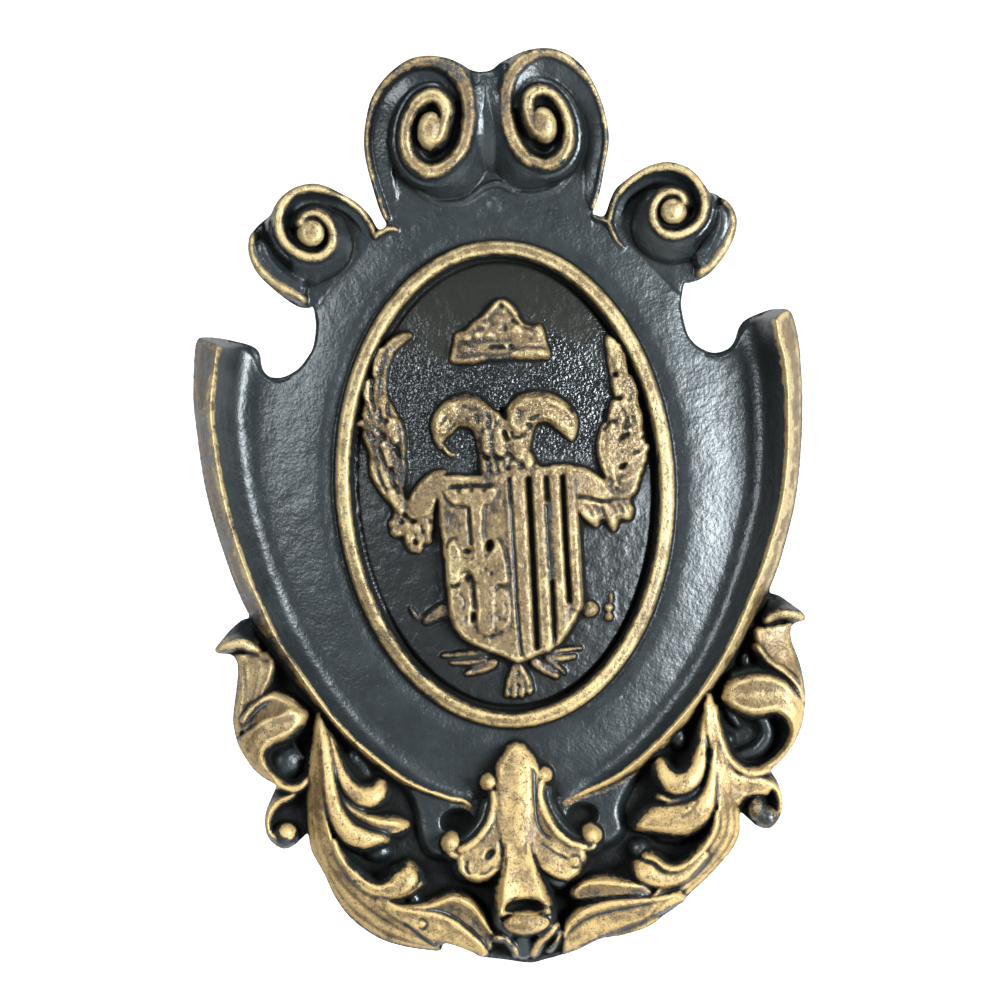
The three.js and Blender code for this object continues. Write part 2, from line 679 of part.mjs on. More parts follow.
// Joined facets that lie flat, or nearly so, are merged: a corner slides along one of its edges
// onto a neighbour where that leaves the surface within a tolerance and turns no facet over
function mergeFlatFacets(points, triangles, tolerance) {
  const faces = triangles.map((face) => [...face]);
  const around = points.map(() => new Set());
  faces.forEach((face, id) => face.forEach((corner) => around[corner].add(id)));
  const normalOf = ([a, b, c]) => {
    return points[b].clone().sub(points[a]).cross(points[c].clone().sub(points[a]));
  };
  const planes = points.map(() => []);
  faces.forEach((face) => {
    const normal = normalOf(face);
    if (normal.length() < 1e-9) return;
    normal.normalize();
    face.forEach((corner) => planes[corner].push([normal, normal.dot(points[face[0]])]));
  });
  const neighbours = (corner) => {
    const found = new Set([...around[corner]].flatMap((id) => faces[id]));
    found.delete(corner);
    return found;
  };
  const error = (from, to) => Math.max(...planes[from].map(([normal, offset]) => (
    Math.abs(normal.dot(points[to]) - offset)
  )));
  const mayMerge = (from, to) => {
    const shared = [...neighbours(from)].filter((corner) => neighbours(to).has(corner));
    if (shared.length !== 2) return false;
    return [...around[from]].filter((id) => !faces[id].includes(to)).every((id) => {
      const before = normalOf(faces[id]);
      const after = normalOf(faces[id].map((corner) => (corner === from ? to : corner)));
      return after.length() > 1e-4 && before.dot(after) > 0.5 * before.length() * after.length();
    });
  };
  const merge = (from, to) => {
    for (const id of around[from]) {
      if (faces[id].includes(to)) {
        faces[id].forEach((corner) => corner !== from && around[corner].delete(id));
        faces[id] = null;
      } else {
        faces[id] = faces[id].map((corner) => (corner === from ? to : corner));
        around[to].add(id);
      }
    }
    around[from].clear();
    planes[to].push(...planes[from]);
  };
  for (const limit of [tolerance / 50, tolerance / 4, tolerance]) {
    let merged = true;
    while (merged) {
      merged = false;
      for (let from = 0; from < points.length; from += 1) {
        if (around[from].size === 0) continue;
        const targets = [...neighbours(from)].map((to) => [error(from, to), to]);
        targets.sort((a, b) => a[0] - b[0]);
        const choice = targets.find(([cost, to]) => cost < limit && mayMerge(from, to));
        if (choice) {
          merge(from, choice[1]);
          merged = true;
        }
      }
    }
  }
  return faces.filter(Boolean);
}

function meshOf(solid, name, material) {
  const { numProp, vertProperties, triVerts } = solid.getMesh();
  const points = [];
  for (let i = 0; i < vertProperties.length; i += numProp) {
    points.push(new THREE.Vector3(...vertProperties.slice(i, i + 3)));
  }
  const triangles = [];
  for (let i = 0; i < triVerts.length; i += 3) triangles.push([...triVerts.slice(i, i + 3)]);
  const index = mergeFlatFacets(points, triangles, facetTolerance).flat();
  const positions = points.flatMap((point) => point.toArray());
  const joined = new THREE.BufferGeometry();
  joined.setAttribute('position', new THREE.Float32BufferAttribute(positions, 3));
  joined.setIndex(index);
  const geometry = mergeVertices(joined.toNonIndexed(), 1e-5);
  geometry.rotateX(Math.PI / 2);
  geometry.computeVertexNormals();
  const mesh = new THREE.Mesh(geometry, material);
  mesh.name = name;
  return mesh;
}

const paintedPlaster = new THREE.MeshStandardMaterial({
  color: 0x4a4d48,
  roughness: 0.48,
  metalness: 0.1,
});

const plaque = new THREE.Group();
plaque.add(meshOf(casting(), 'coat_of_arms_casting', paintedPlaster));

export default plaque;
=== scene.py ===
import math

import bpy
import bmesh
import numpy as np
from mathutils import Matrix, Vector, geometry, kdtree


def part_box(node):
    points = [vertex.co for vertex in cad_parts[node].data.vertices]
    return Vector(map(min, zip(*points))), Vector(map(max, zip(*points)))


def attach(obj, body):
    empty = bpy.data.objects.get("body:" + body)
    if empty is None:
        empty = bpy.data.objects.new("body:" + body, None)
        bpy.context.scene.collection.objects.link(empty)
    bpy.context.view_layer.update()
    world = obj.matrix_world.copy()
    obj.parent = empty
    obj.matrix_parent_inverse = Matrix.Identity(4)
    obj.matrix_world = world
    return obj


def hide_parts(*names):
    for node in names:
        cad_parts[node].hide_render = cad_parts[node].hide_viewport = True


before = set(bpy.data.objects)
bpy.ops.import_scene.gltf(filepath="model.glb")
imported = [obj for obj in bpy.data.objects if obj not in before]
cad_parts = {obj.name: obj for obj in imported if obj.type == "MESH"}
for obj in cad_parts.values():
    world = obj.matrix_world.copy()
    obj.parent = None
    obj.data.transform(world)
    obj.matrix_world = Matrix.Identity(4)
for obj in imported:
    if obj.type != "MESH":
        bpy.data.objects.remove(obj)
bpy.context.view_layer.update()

# Cartouche
# The board of the plaque: dished plaster with a raised edge, poured in one mould with all that
# stands on it, then painted slate and rubbed with gold. Its height off the wall and its share of
# gold are held on a fine grid, and each form below is laid over that grid or cut into it.
casting_low, casting_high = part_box("coat_of_arms_casting")
plaque_height = 363.0
unit = (casting_high.z - casting_low.z) / plaque_height
pitch = 0.5

grid_x = np.arange(-125.0, 125.1, pitch)
grid_z = np.arange(-193.0, 177.1, pitch)
X, Z = np.meshgrid(grid_x, grid_z)
relief = np.zeros(X.shape)
gilt = np.zeros(X.shape)

# Outline of the plaque from the top down, half by half: (x, z) in millimetres
left_outline = [
    (-1, 164.5), (-5, 165.5), (-9, 168), (-14, 170.3), (-21, 171.7), (-28, 171), (-34, 168), (-40, 163),
    (-45, 156), (-47.5, 148), (-48.8, 140), (-48.5, 132), (-46.5, 122), (-44, 112), (-41.8, 106.8),
    (-43, 104.7), (-45.3, 105), (-48, 110), (-53, 115.5), (-60, 120), (-66, 123), (-71, 123.8),
    (-77, 122.5), (-82, 119.5), (-85.5, 115.5), (-87.5, 112.3), (-91, 110.2), (-94.5, 107),
    (-96.5, 103.5), (-97, 99), (-96, 94), (-93.5, 89), (-89, 84), (-84, 79.5), (-79, 76), (-75, 75),
    (-72.8, 75.3), (-72, 71), (-72, 66), (-73.5, 59), (-76, 55), (-79, 51.5), (-82, 49.5), (-86, 48),
    (-89, 47.9), (-91.5, 48.5), (-93.5, 50.3), (-94.6, 53), (-95, 57), (-96, 59.5), (-98.5, 61.3),
    (-103, 62.8), (-110, 64.5), (-117, 65.3), (-119.3, 64), (-120.5, 60), (-121.5, 50), (-122, 40),
    (-121.5, 30), (-119.5, 8), (-116, -10), (-110.5, -30), (-107, -40), (-104.5, -46.5), (-108, -48.2),
    (-112.5, -51.8), (-116, -55.8), (-118.5, -59), (-117, -60.5), (-112.8, -61.3), (-110.5, -63.5),
    (-110, -68), (-111, -75), (-112.3, -82), (-113, -88), (-112, -95), (-109.5, -101), (-105.5, -107.5),
    (-101, -111.5), (-97.5, -113.5), (-97.3, -115), (-99.3, -119), (-101.7, -124.5), (-102.3, -130),
    (-101.3, -135), (-98.5, -138), (-95, -139.6), (-91.5, -138.5), (-88, -135.8), (-85.6, -134.3),
    (-85, -138), (-84, -142), (-80, -150), (-76, -160), (-70, -169), (-60, -177), (-50, -181),
    (-40, -183), (-35.5, -183.3), (-33.5, -180.3), (-29, -181.5), (-23, -184.3), (-18, -187),
    (-10, -188.5), (0, -190.3),
]
right_outline = [
    (3, 165), (6, 167), (10, 169.5), (16, 171.5), (23, 172.4), (30, 171.3), (37, 167), (42, 160.5),
    (46, 151), (48, 142), (48.3, 134), (46, 124), (43.5, 114), (40.6, 107), (42, 105.6), (44.5, 105.2),
    (46, 107), (48, 112), (50.5, 116), (55, 119.3), (60, 122.3), (66, 124.5), (72, 124.9), (78, 122.8),
    (82, 119.5), (85, 115.3), (87, 112.3), (90, 111.5), (94, 108.5), (96.5, 105), (97.5, 101), (96.8, 96),
    (94, 90), (90, 84.5), (86, 80.5), (82, 78.3), (78, 77.2), (75.6, 76.8), (74.3, 72), (73.8, 68),
    (74.5, 62), (76, 56), (79, 52), (83, 49.5), (86.5, 48.7), (90, 49.3), (93, 51), (95, 54), (96.5, 58),
    (99, 61), (103, 62.8), (109, 64.5), (114, 64.5), (116.8, 63.3), (118.3, 60), (119.5, 53), (120, 45),
    (120, 30), (118.5, 10), (115, -12), (109, -32), (105.5, -41), (103, -47.3), (107, -49.5),
    (112, -53.5), (115.8, -57), (116.2, -59.3), (113.5, -60), (111, -61.5), (110.3, -64.5), (111, -69),
    (113, -75), (114.3, -82), (114.8, -89), (114, -96), (112, -103), (108, -110), (103, -115.5),
    (99.8, -118.5), (102, -123), (103.5, -129.5), (103.2, -135), (101, -139), (97.5, -141.6),
    (93, -140.3), (89.5, -137), (86.5, -135), (86, -142), (84, -147), (80, -152), (73, -159), (66, -165),
    (60, -170), (54, -174), (47, -178), (38, -180.6), (33, -181.3), (27, -182.3), (20, -185.5),
    (12, -188), (6, -189.3),
]


def through(stations, steps, closed=False):
    """Smooth run through stations that each hold any number of values."""
    knots = np.array(stations, float)
    if closed:
        knots = np.vstack([knots[-1:], knots, knots[:2]])
    else:
        knots = np.vstack([2 * knots[0] - knots[1], knots, 2 * knots[-1] - knots[-2]])
    t = np.arange(steps)[:, None] / steps
    spans = []
    for a, b, c, d in zip(knots, knots[1:], knots[2:], knots[3:]):
        bend = (2 * a - 5 * b + 4 * c - d) * t**2 + (3 * b - 3 * c + d - a) * t**3
        spans.append((2 * b + (c - a) * t + bend) / 2)
    if not closed:
        spans.append(knots[-2:-1])
    return np.vstack(spans)


# Weight of samples that fills a cell of the grid
full_cell = 1.4


def spread(x, z, *layers):
    """Window of the grid around scattered samples, how well they cover it, and each layer's mean."""
    column = (x.ravel() - grid_x[0]) / pitch
    row = (z.ravel() - grid_z[0]) / pitch
    first_column, first_row = int(column.min()), int(row.min())
    shape = (int(row.max()) - first_row + 2, int(column.max()) - first_column + 2)
    left, below = np.floor(column).astype(int), np.floor(row).astype(int)
    total = np.zeros((1 + len(layers), shape[0] * shape[1]))
    for dc in (0, 1):
        for dr in (0, 1):
            weight = np.abs(1 - dc - (column - left)) * np.abs(1 - dr - (row - below))
            cell = (below + dr - first_row) * shape[1] + left + dc - first_column
            total[0] += np.bincount(cell, weight, total.shape[1])
            for k, layer in enumerate(layers):
                total[k + 1] += np.bincount(cell, weight * layer.ravel(), total.shape[1])
    window = np.s_[first_row:first_row + shape[0], first_column:first_column + shape[1]]
    cover = np.clip(total[0] / full_cell, 0, 1).reshape(shape)
    means = total[1:] / np.maximum(total[0], 1e-6)
    return window, cover, means.reshape(-1, *shape)


def lay(x, z, height, golden, cut=False):
    """Raises the board to a form's samples, or cuts it down to them, and paints what shows."""
    window, cover, (tall, paint) = spread(x, z, height, golden)
    old = relief[window]
    change = np.minimum(tall - old, 0) if cut else np.maximum(tall - old, 0)
    over = old - tall if cut else tall - old
    relief[window] = old + cover * change
    gilt[window] += cover * np.clip(over / 0.5 + 1, 0, 1) * (paint - gilt[window])


# Spacing of the samples along and across a form, and the most that its section falls
along_spacing, across_spacing, deepest_fall = 0.22, 0.25, 5


def closely(*runs):
    """Steps between the stations of some runs that leave no gap in the grid."""
    spans = [np.hypot(*np.diff(np.array(run, float)[:, :2], axis=0).T).max() for run in runs]
    return int(max(spans) / along_spacing) + 4


def blade(left, right, section, gold=1.0, sag=1.0, cut=False):
    """A carved form between two edges of (x, z, height) stations, with a share of gold if one is
    added. Its section gives, from the left edge to the right one, how far it falls as a share of
    its width and how much gold it holds. A sag above 1 hollows the way between unequal edges."""
    steps = closely(left, right)
    a, b = through(left, steps), through(right, steps)
    width = np.hypot(*(b - a)[:, :2].T)
    across = np.linspace(0, 1, int(max(width.max() / across_spacing, 8)) + 1)
    stops, falls, golds = zip(*section)
    fall = np.minimum(np.interp(across, stops, falls) * width[:, None], deepest_fall)
    place = a[:, None, :2] + (b - a)[:, None, :2] * across[None, :, None]
    level = b[:, 2:3] + (a - b)[:, 2:3] * (1 - across[None, :]) ** sag
    golden = np.interp(across, stops, golds)[None, :] * gold
    if a.shape[1] > 3:
        golden = golden * a[:, 3:4]
    lay(place[..., 0], place[..., 1], level - fall, np.broadcast_to(golden, fall.shape), cut)


def fill(outline):
    """Grid points inside a closed outline."""
    a, b = outline, np.roll(outline, -1, axis=0)
    inside = np.zeros(X.shape, bool)
    for row, z in enumerate(grid_z):
        hit = (a[:, 1] > z) != (b[:, 1] > z)
        slope = (b[hit, 0] - a[hit, 0]) / (b[hit, 1] - a[hit, 1])
        crossing = np.sort(a[hit, 0] + (z - a[hit, 1]) * slope)
        inside[row] = np.searchsorted(crossing, grid_x) % 2 == 1
    return inside


def grade(value, low, high):
    """Smooth step from 0 at low to 1 at high."""
    t = np.clip((value - low) / (high - low), 0, 1)
    return t * t * (3 - 2 * t)


outline = through(left_outline[::-1] + right_outline, 8, closed=True)
plaque = fill(outline)

# Heights off the wall, and the oval that the dished floor falls away from
board_floor, floor_fall = 16.0, 6.0
leaf_floor = 8.0
oval_across, oval_up, oval_lift = 67.6, 97.2, 0.7

# Foot and arris of the raised edge from the top down: (x, z, height)
left_edge = [
    (-119, 66, 15), (-121.5, 50, 15), (-122, 40, 15), (-121.5, 30, 15), (-119.5, 8, 14.5),
    (-116, -10, 14), (-110.5, -30, 13.5), (-107, -40, 13), (-103, -50, 12.5), (-98, -59.5, 12),
    (-88, -74, 12), (-77, -88, 12), (-66, -101.5, 11.5), (-53, -113, 11.5), (-42, -120, 11.5),
    (-28, -125.3, 11.5), (-22.5, -127.3, 11.5), (-17, -132, 11.5),
]
left_arris = [
    (-110, 63, 36.5), (-112.3, 50, 37), (-114, 40, 37), (-114.3, 30, 36.5), (-112.3, 8, 35),
    (-109, -10, 33), (-103.5, -30, 31), (-99.6, -40, 30), (-95.5, -51, 28.5), (-91, -60, 27.5),
    (-82, -75, 26), (-73, -88.5, 24.5), (-64, -99, 23), (-52, -110, 21.5), (-42, -117, 20.5),
    (-29, -122.7, 18.5), (-23, -124.3, 16.5), (-18, -128.5, 14),
]
right_edge = [
    (117, 65, 15), (119.5, 53, 15), (120, 45, 15), (120, 30, 15), (118.5, 10, 14.5), (115, -12, 14),
    (109, -32, 13.5), (105.5, -41, 13), (101, -51, 12.5), (94, -63, 12), (84, -79, 12), (74, -92, 12),
    (62, -104, 11.5), (50, -114.5, 11.5), (38, -121.5, 11.5), (24, -125.8, 11.5), (17, -128.5, 11.5),
]
right_arris = [
    (110, 62, 36.5), (111, 52, 37), (112.7, 44, 37), (113.3, 30, 36.5), (112.2, 8, 35), (109, -12, 33),
    (102.8, -31, 31), (99.2, -40, 30), (94.5, -50, 28.5), (88, -63.5, 27.5), (78.5, -79, 26),
    (69, -91, 24.5), (58, -102.3, 23), (46, -112.5, 21), (35, -119.2, 19), (23, -124.3, 15.5),
    (16.5, -127, 13.5),
]


def floor_at(x, z):
    """Height of the dished floor, which falls away from the medallion."""
    out = np.hypot(x / oval_across, (z - oval_lift) / oval_up)
    return board_floor - floor_fall * grade(out, 1.0, 1.55)


# Width of the cove inside the edge, at its top and at its foot
cove_widest, cove_narrowest = 18, 8


def rim(edge, arris, side, golden):
    """The raised edge: a gilt band up to its arris, and a cove down to the dished floor."""
    blade(edge, arris, [(0, 0.12, 0.7), (0.15, 0.02, 0.9), (0.7, 0, 1), (0.9, 0, 1.1), (1, 0.03, 1.1)],
          golden)
    crest = np.array(arris, float)
    along = np.gradient(crest[:, :2], axis=0)
    along /= np.hypot(*along.T)[:, None]
    reach = np.linspace(cove_widest, cove_narrowest, len(crest))[:, None]
    toe = crest[:, :2] + np.column_stack([along[:, 1], -along[:, 0]]) * side * reach
    foot = np.column_stack([toe, floor_at(toe[:, 0], toe[:, 1])])
    blade(crest, foot, [(0, 0, 1), (0.06, 0, 0.8), (0.13, 0, 0), (1, 0, 0)], sag=3.5)


# Ground of the leaves, the dish, and its raised edge, with less gold on the left edge than on the right as
# painted shade
dish = np.array(
    [(x, z) for x, z, _ in left_edge] + [(0, -138)] + [(x, z) for x, z, _ in right_edge[::-1]]
    + [(100, 180), (-100, 180)]
)
in_dish = fill(dish)
relief[:] = leaf_floor
relief[in_dish] = floor_at(X, Z)[in_dish]
# Painted shade: the left edge holds about half the gold of the right one
rim(left_edge, left_arris, -1, 0.47)
rim(right_edge, right_arris, 1, 0.9)

# The ends of the raised edge slope back from the dish to the hollow beside each side scroll.
for back, front in (
    ([(-119, 66.5, 8), (-110, 65.5, 6), (-103, 64, 6), (-98, 62.5, 6), (-94.8, 59, 6),
      (-93.8, 54, 6), (-92, 50, 6), (-89, 47.7, 7), (-84, 48.3, 8)],
     [(-117, 62.5, 32), (-110.5, 61, 36), (-107.5, 57, 31), (-104, 53, 22), (-101, 50, 16.5),
      (-97, 47.5, 14), (-93, 46.2, 13), (-89, 45.3, 13), (-84, 46.5, 13.5)]),
    ([(117, 66, 8), (109, 66, 6), (103, 64.5, 6), (98.5, 62, 6), (95.3, 58, 6), (93.8, 54, 6),
      (91.8, 51, 6), (88.5, 48.6, 7), (83.5, 48.8, 8)],
     [(117, 61.5, 32), (110.5, 60.5, 36), (107.5, 57, 31), (103, 52.5, 22), (99, 49, 16.5), (95, 47, 14),
      (91.5, 46.2, 13), (87, 46, 13), (82.5, 47, 13.5)]),
):
    blade(back, front, [(0, 0, 0.1), (0.9, 0, 0.1), (1, 0, 0.4)], cut=True)

# Neck
# The plain painted ground below the board's point, cast with it. It narrows between the leaves
# down to the palmette, and has a round pocket sunk in it on each side of the palmette's stem.
def soften(layer, reach):
    """The layer blurred over a reach in millimetres."""
    sigma = reach / pitch
    half = int(3 * sigma) + 1
    kernel = np.exp(-0.5 * (np.arange(-half, half + 1) / sigma) ** 2)
    kernel /= kernel.sum()
    for axis in (0, 1):
        width = [(half, half) if k == axis else (0, 0) for k in (0, 1)]
        padded = np.pad(layer, width, mode="edge")
        length = layer.shape[axis]
        layer = sum(
            share * (padded[k:k + length] if axis == 0 else padded[:, k:k + length])
            for k, share in enumerate(kernel)
        )
    return layer


neck = through([
    (-49, -113), (-45, -121), (-42.5, -130), (-42, -138), (-38, -146), (-28, -149), (-16, -158),
    (0, -166), (14, -158), (27, -148), (36, -145), (41.5, -139), (40, -132), (43, -125), (47.5, -118),
    (50, -112), (20, -122), (-20, -122),
], 8, closed=True)
in_neck = soften(fill(neck).astype(float), 1.6)
neck_rise, pocket_depth = 8.5, 7
relief = np.maximum(relief, leaf_floor - 2 + in_neck * neck_rise)
# Pockets beside the stem
for x, z, across, up in ((-26, -132.5, 7, 5.5), (24, -132.5, 6.4, 5.4)):
    pocket = np.clip(1 - ((X - x) / across) ** 2 - ((Z - z) / up) ** 2, 0, 1)
    relief -= pocket_depth * pocket

# Oval moulding and its field
# A flat band cast in the plaster and rubbed with gold, with a sunk groove inside it. It frames a
# slightly domed field, whose dark paint dried to a leathery skin under a brown haze.
rim_width, groove_width = 5.8, 2.8
rim_height, groove_floor = 20.5, 9.0
field_edge, field_crown = 13.5, 19.0

# How far each point lies inside the edge of the oval
around = np.hypot(X / oval_across, (Z - oval_lift) / oval_up)
steepness = np.hypot(X / oval_across**2, (Z - oval_lift) / oval_up**2)
inset = np.where(around < 0.3, 40.0, (1 - around) * around / np.maximum(steepness, 1e-4))
field_rim = rim_width + groove_width


def field_at(x, z):
    """Height of the domed field."""
    out = np.clip((x / (oval_across - field_rim)) ** 2 + (z / (oval_up - field_rim)) ** 2, 0, 1)
    return field_edge + (field_crown - field_edge) * (1 - out)


# Slight dip round the band, then the band itself
relief -= np.where(inset < 0, 0.9 * grade(inset, -7, 0.5), 0)
profile = np.interp(
    inset,
    [0, 0.5, 1.2, 2.4, rim_width - 0.7, rim_width, rim_width + 0.9, rim_width + 1.8],
    [14, 18.6, 19.6, rim_height - 0.4, rim_height, rim_height - 1, groove_floor + 1, groove_floor],
)
in_ring = (inset >= 0) & (inset < rim_width + 1.8)
relief[in_ring] = profile[in_ring]
# The band holds less gold towards its lower left and at its top
rubbed = 0.98 - 0.3 * grade(-X, -10, 40) * grade(-Z, 10, 60) - 0.2 * grade(Z, 60, 92)
gilt[in_ring] = (
    np.interp(inset, [0, 0.9, rim_width - 0.5, rim_width + 0.4], [0.35, 0.92, 1, 0]) * rubbed
)[in_ring]
# Field inside the groove, and a thin line raised on the left of the groove
in_field = inset >= rim_width + 1.8
rise = grade(inset, rim_width + 1.8, field_rim + 0.8)
relief[in_field] = (groove_floor + (field_at(X, Z) - groove_floor) * rise)[in_field]
field_share = grade(inset, rim_width + 0.5, rim_width + 2)
bead = np.exp(-((inset - rim_width - 2.1) / 0.4) ** 2) * grade(X, 12, -20) * grade(Z, -75, -40)
relief = np.maximum(relief, groove_floor + 6.5 * bead)


# Crown
# A peaked cap over a plain band, low and worn, cast on the domed field. Gold was rubbed over it,
# and stays thin in the hollows.
def on_field(stations, above=5.0):
    """Stations of (x, z, width, share of the eagle's relief) lifted onto the domed field."""
    return [(x, z, w, field_at(x, z) + above * share) for x, z, w, share in stations]


def from_ends(run):
    """How far each point of a run lies from the nearer end of it."""
    gone = np.concatenate([[0], np.cumsum(np.hypot(*np.diff(run[:, :2], axis=0).T))])
    return np.minimum(gone, gone[-1] - gone)[:, None]


def sides_of(stations, steps=4):
    """Left and right edge of a strip whose stations are (x, z, half width, height). Its ends are
    rounded off."""
    run = through(stations, steps)
    along = np.gradient(run[:, :2], axis=0)
    along /= np.maximum(np.hypot(*along.T), 1e-6)[:, None]
    short = np.clip(1 - from_ends(run) / np.maximum(run[:, 2:3], 0.3), 0, 1)
    half = run[:, 2:3] * np.sqrt(np.maximum(1 - short**2, 0.04))
    normal = np.column_stack([-along[:, 1], along[:, 0]]) * half
    rest = run[:, 3:]
    return np.hstack([run[:, :2] + normal, rest]), np.hstack([run[:, :2] - normal, rest])


def strip(stations, section, gold=1.0):
    """A carved strip along a middle line."""
    left, right = sides_of(stations, 12)
    blade(left, right, section, gold)


def score(stations, half, depth, wipe=None):
    """A scored line, which holds the less gold the deeper it is."""
    run = through(stations, closely(stations))
    along = np.gradient(run[:, :2], axis=0)
    along /= np.maximum(np.hypot(*along.T), 1e-6)[:, None]
    across = np.linspace(-1, 1, int(half * 8) + 5)
    x = run[:, :1] - along[:, 1:] * across * half
    z = run[:, 1:2] + along[:, :1] * across * half
    short = np.clip(1 - from_ends(run) / (half * 1.6), 0, 1)
    window, cover, (deep,) = spread(x, z, np.clip(1 - across**2 - short**2, 0, 1))
    relief[window] -= cover * deep * depth
    gilt[window] *= 1 - (min(depth / 3.5, 1) if wipe is None else wipe) * cover * deep


def mound(x, z, across, up, base, rise, gold=0.0, turn=0.0):
    """A rounded swelling."""
    cosine, sine = math.cos(math.radians(turn)), math.sin(math.radians(turn))
    u = ((X - x) * cosine + (Z - z) * sine) / across
    v = ((Z - z) * cosine - (X - x) * sine) / up
    out = u * u + v * v
    height = base + rise * np.sqrt(np.clip(1 - out, 0, 1))
    shows = (out < 1) & (height > relief)
    relief[shows] = height[shows]
    gilt[shows] = gold


def slab(edge, level, golden, roll=0.7):
    """A flat form with a rolled edge, raised to a level inside a closed outline."""
    inside = soften(fill(through(edge, 8, closed=True)).astype(float), roll)
    lift = np.maximum(level - relief, 0) * grade(inside, 0.1, 0.85)
    relief[:] += lift
    gilt[:] += (golden - gilt) * grade(inside, 0.25, 0.6) * (lift > 0)


# Section of a round bead: place across it, fall as a share of its width, gold
BEAD = [(0, 0.5, 0.3), (0.18, 0.14, 0.9), (0.5, 0, 1), (0.82, 0.14, 0.9), (1, 0.5, 0.3)]

cap = [
    (-18, 49.6), (-18.4, 54), (-17.2, 58), (-16.6, 61.6), (-12.6, 62.6), (-9.4, 65.6), (-5, 68.4),
    (-1, 72.4), (1.6, 74.4), (4.6, 72.8), (7.8, 69), (9.6, 65.6), (11.6, 63.6), (15, 62.8),
    (17.4, 63.6), (18.8, 60.6), (19.6, 56), (20.4, 49.8), (10, 49.6), (0, 49.8),
]
slab(cap, field_at(X, Z) + 3.4, 0.88)
# Plain band and the two edges of the peak
strip(on_field([(-17, 51, 1.2, 0.8), (-12, 50.6, 1.3, 0.85), (-6, 51.4, 1.6, 0.9)]), BEAD, 0.95)
strip(on_field([(-5, 51.2, 0.9, 0.85), (1, 51, 0.9, 0.85), (7, 51.4, 0.9, 0.85)]), BEAD, 0.35)
strip(on_field([(5, 52.2, 1.6, 0.9), (11, 52.4, 2.4, 1), (17, 52, 2.4, 1), (19.6, 51.4, 1.6, 0.9)]),
      BEAD, 1.15)
strip(on_field([(-4.6, 67, 1.1, 0.8), (-1.6, 70, 1.1, 0.9), (0.6, 72.8, 0.9, 0.9)]), BEAD, 1.15)
strip(on_field([(2.6, 73.2, 0.9, 0.95), (5.6, 70.4, 1.2, 0.95), (8, 67.4, 1.1, 0.9)]), BEAD, 1.15)
# Studs over the band, worn low
for x, z, across, up, golden in (
    (-12.2, 59.6, 1.6, 1.5, 1.1), (-8, 60.4, 1.8, 1.8, 1.1), (-3, 60, 2.2, 1.6, 1.1),
    (0.6, 61.6, 1.6, 1.4, 0.9), (7.6, 61, 2.6, 2.8, 1.1), (12.4, 59.8, 1.5, 1.8, 0.9),
    (16.6, 60.2, 1.7, 2.8, 1.05), (-6, 64.4, 1.8, 1.4, 0.8), (0.4, 66, 2.4, 1.8, 0.85),
    (3, 69.4, 1.6, 1.6, 0.9), (-13, 55, 3, 2, 0.75), (13, 55.6, 4, 1.2, 0.95),
):
    mound(x, z, across, up, field_at(x, z) + 3, 1.5, golden)
# Dark lines between them
score([(-4, 55.6), (0, 55.2), (4.6, 55.2), (6.4, 54.8)], 1, 2, 0.8)
mound(3.4, 55.6, 1.1, 0.8, field_at(3, 55) + 2.6, 1, 1.2)
for stations, half, depth in (
    ([(-16, 57.6), (-8, 57.8), (-2, 57.4), (6, 57.6)], 0.7, 0.9),
    ([(2.4, 61), (3.4, 62), (2.6, 64)], 0.7, 1.4),
    ([(0, 62.6), (2, 61.4)], 0.7, 1.3), ([(5.4, 66), (7.6, 64.8), (9.4, 63.4)], 0.9, 1.4),
    ([(10, 63.2), (12.6, 62), (14.6, 62.2)], 0.8, 1.4), ([(-9.6, 62.4), (-5, 62.6)], 0.6, 0.9),
    ([(12.4, 58.6), (13.6, 58)], 0.6, 1.2), ([(1.6, 73), (2.4, 70.6), (4, 69)], 0.5, 0.9),
):
    score(stations, half, depth)

# Eagle
# Two heads on one feathered neck, wings bowed up along the oval, and the feet and tail that show
# below the shield. Heads and wings are low solid masses with their feathers cut over them.
ROUNDED = [(0, 0.4, 0.15), (0.1, 0.14, 0.7), (0.28, 0.03, 1), (0.5, 0, 1), (0.72, 0.03, 1),
           (0.9, 0.14, 0.7), (1, 0.4, 0.15)]
# Outlines of the two heads, each with its half of the neck
left_head = [
    (-24.8, 15.2), (-27.2, 19.5), (-28.2, 25), (-26.8, 30), (-23, 34.2), (-18, 36.9), (-12.5, 37.6),
    (-8, 36.2), (-5, 32.8), (-2.6, 30), (0.6, 27.6), (2, 24), (2, 12), (0, 4.6), (-9, 4.6), (-9.6, 9.6),
    (-9.9, 14), (-10.4, 19), (-12, 22.8), (-15, 24.4), (-18, 23.8), (-20.2, 21.8), (-22.6, 20),
    (-24, 17.6),
]
slab(left_head, field_at(X, Z) + 3.6, 0.8)
right_head = [
    (27.6, 16.2), (29.6, 19.6), (30.2, 24.4), (29, 28.6), (26, 32.2), (22, 35.2), (17, 36.9), (11, 37),
    (6.4, 35.4), (3.6, 32.6), (1.4, 28.6), (-1, 24), (-1, 12), (0, 4.6), (15, 5.4), (12.8, 8.6),
    (11.2, 11.6), (10.8, 15), (11.8, 19), (12.8, 22.6), (14.6, 24.2), (17.6, 24.2), (20.6, 22.2),
    (23.6, 19.6), (26, 17.4),
]
slab(right_head, field_at(X, Z) + 3.9, 0.98)
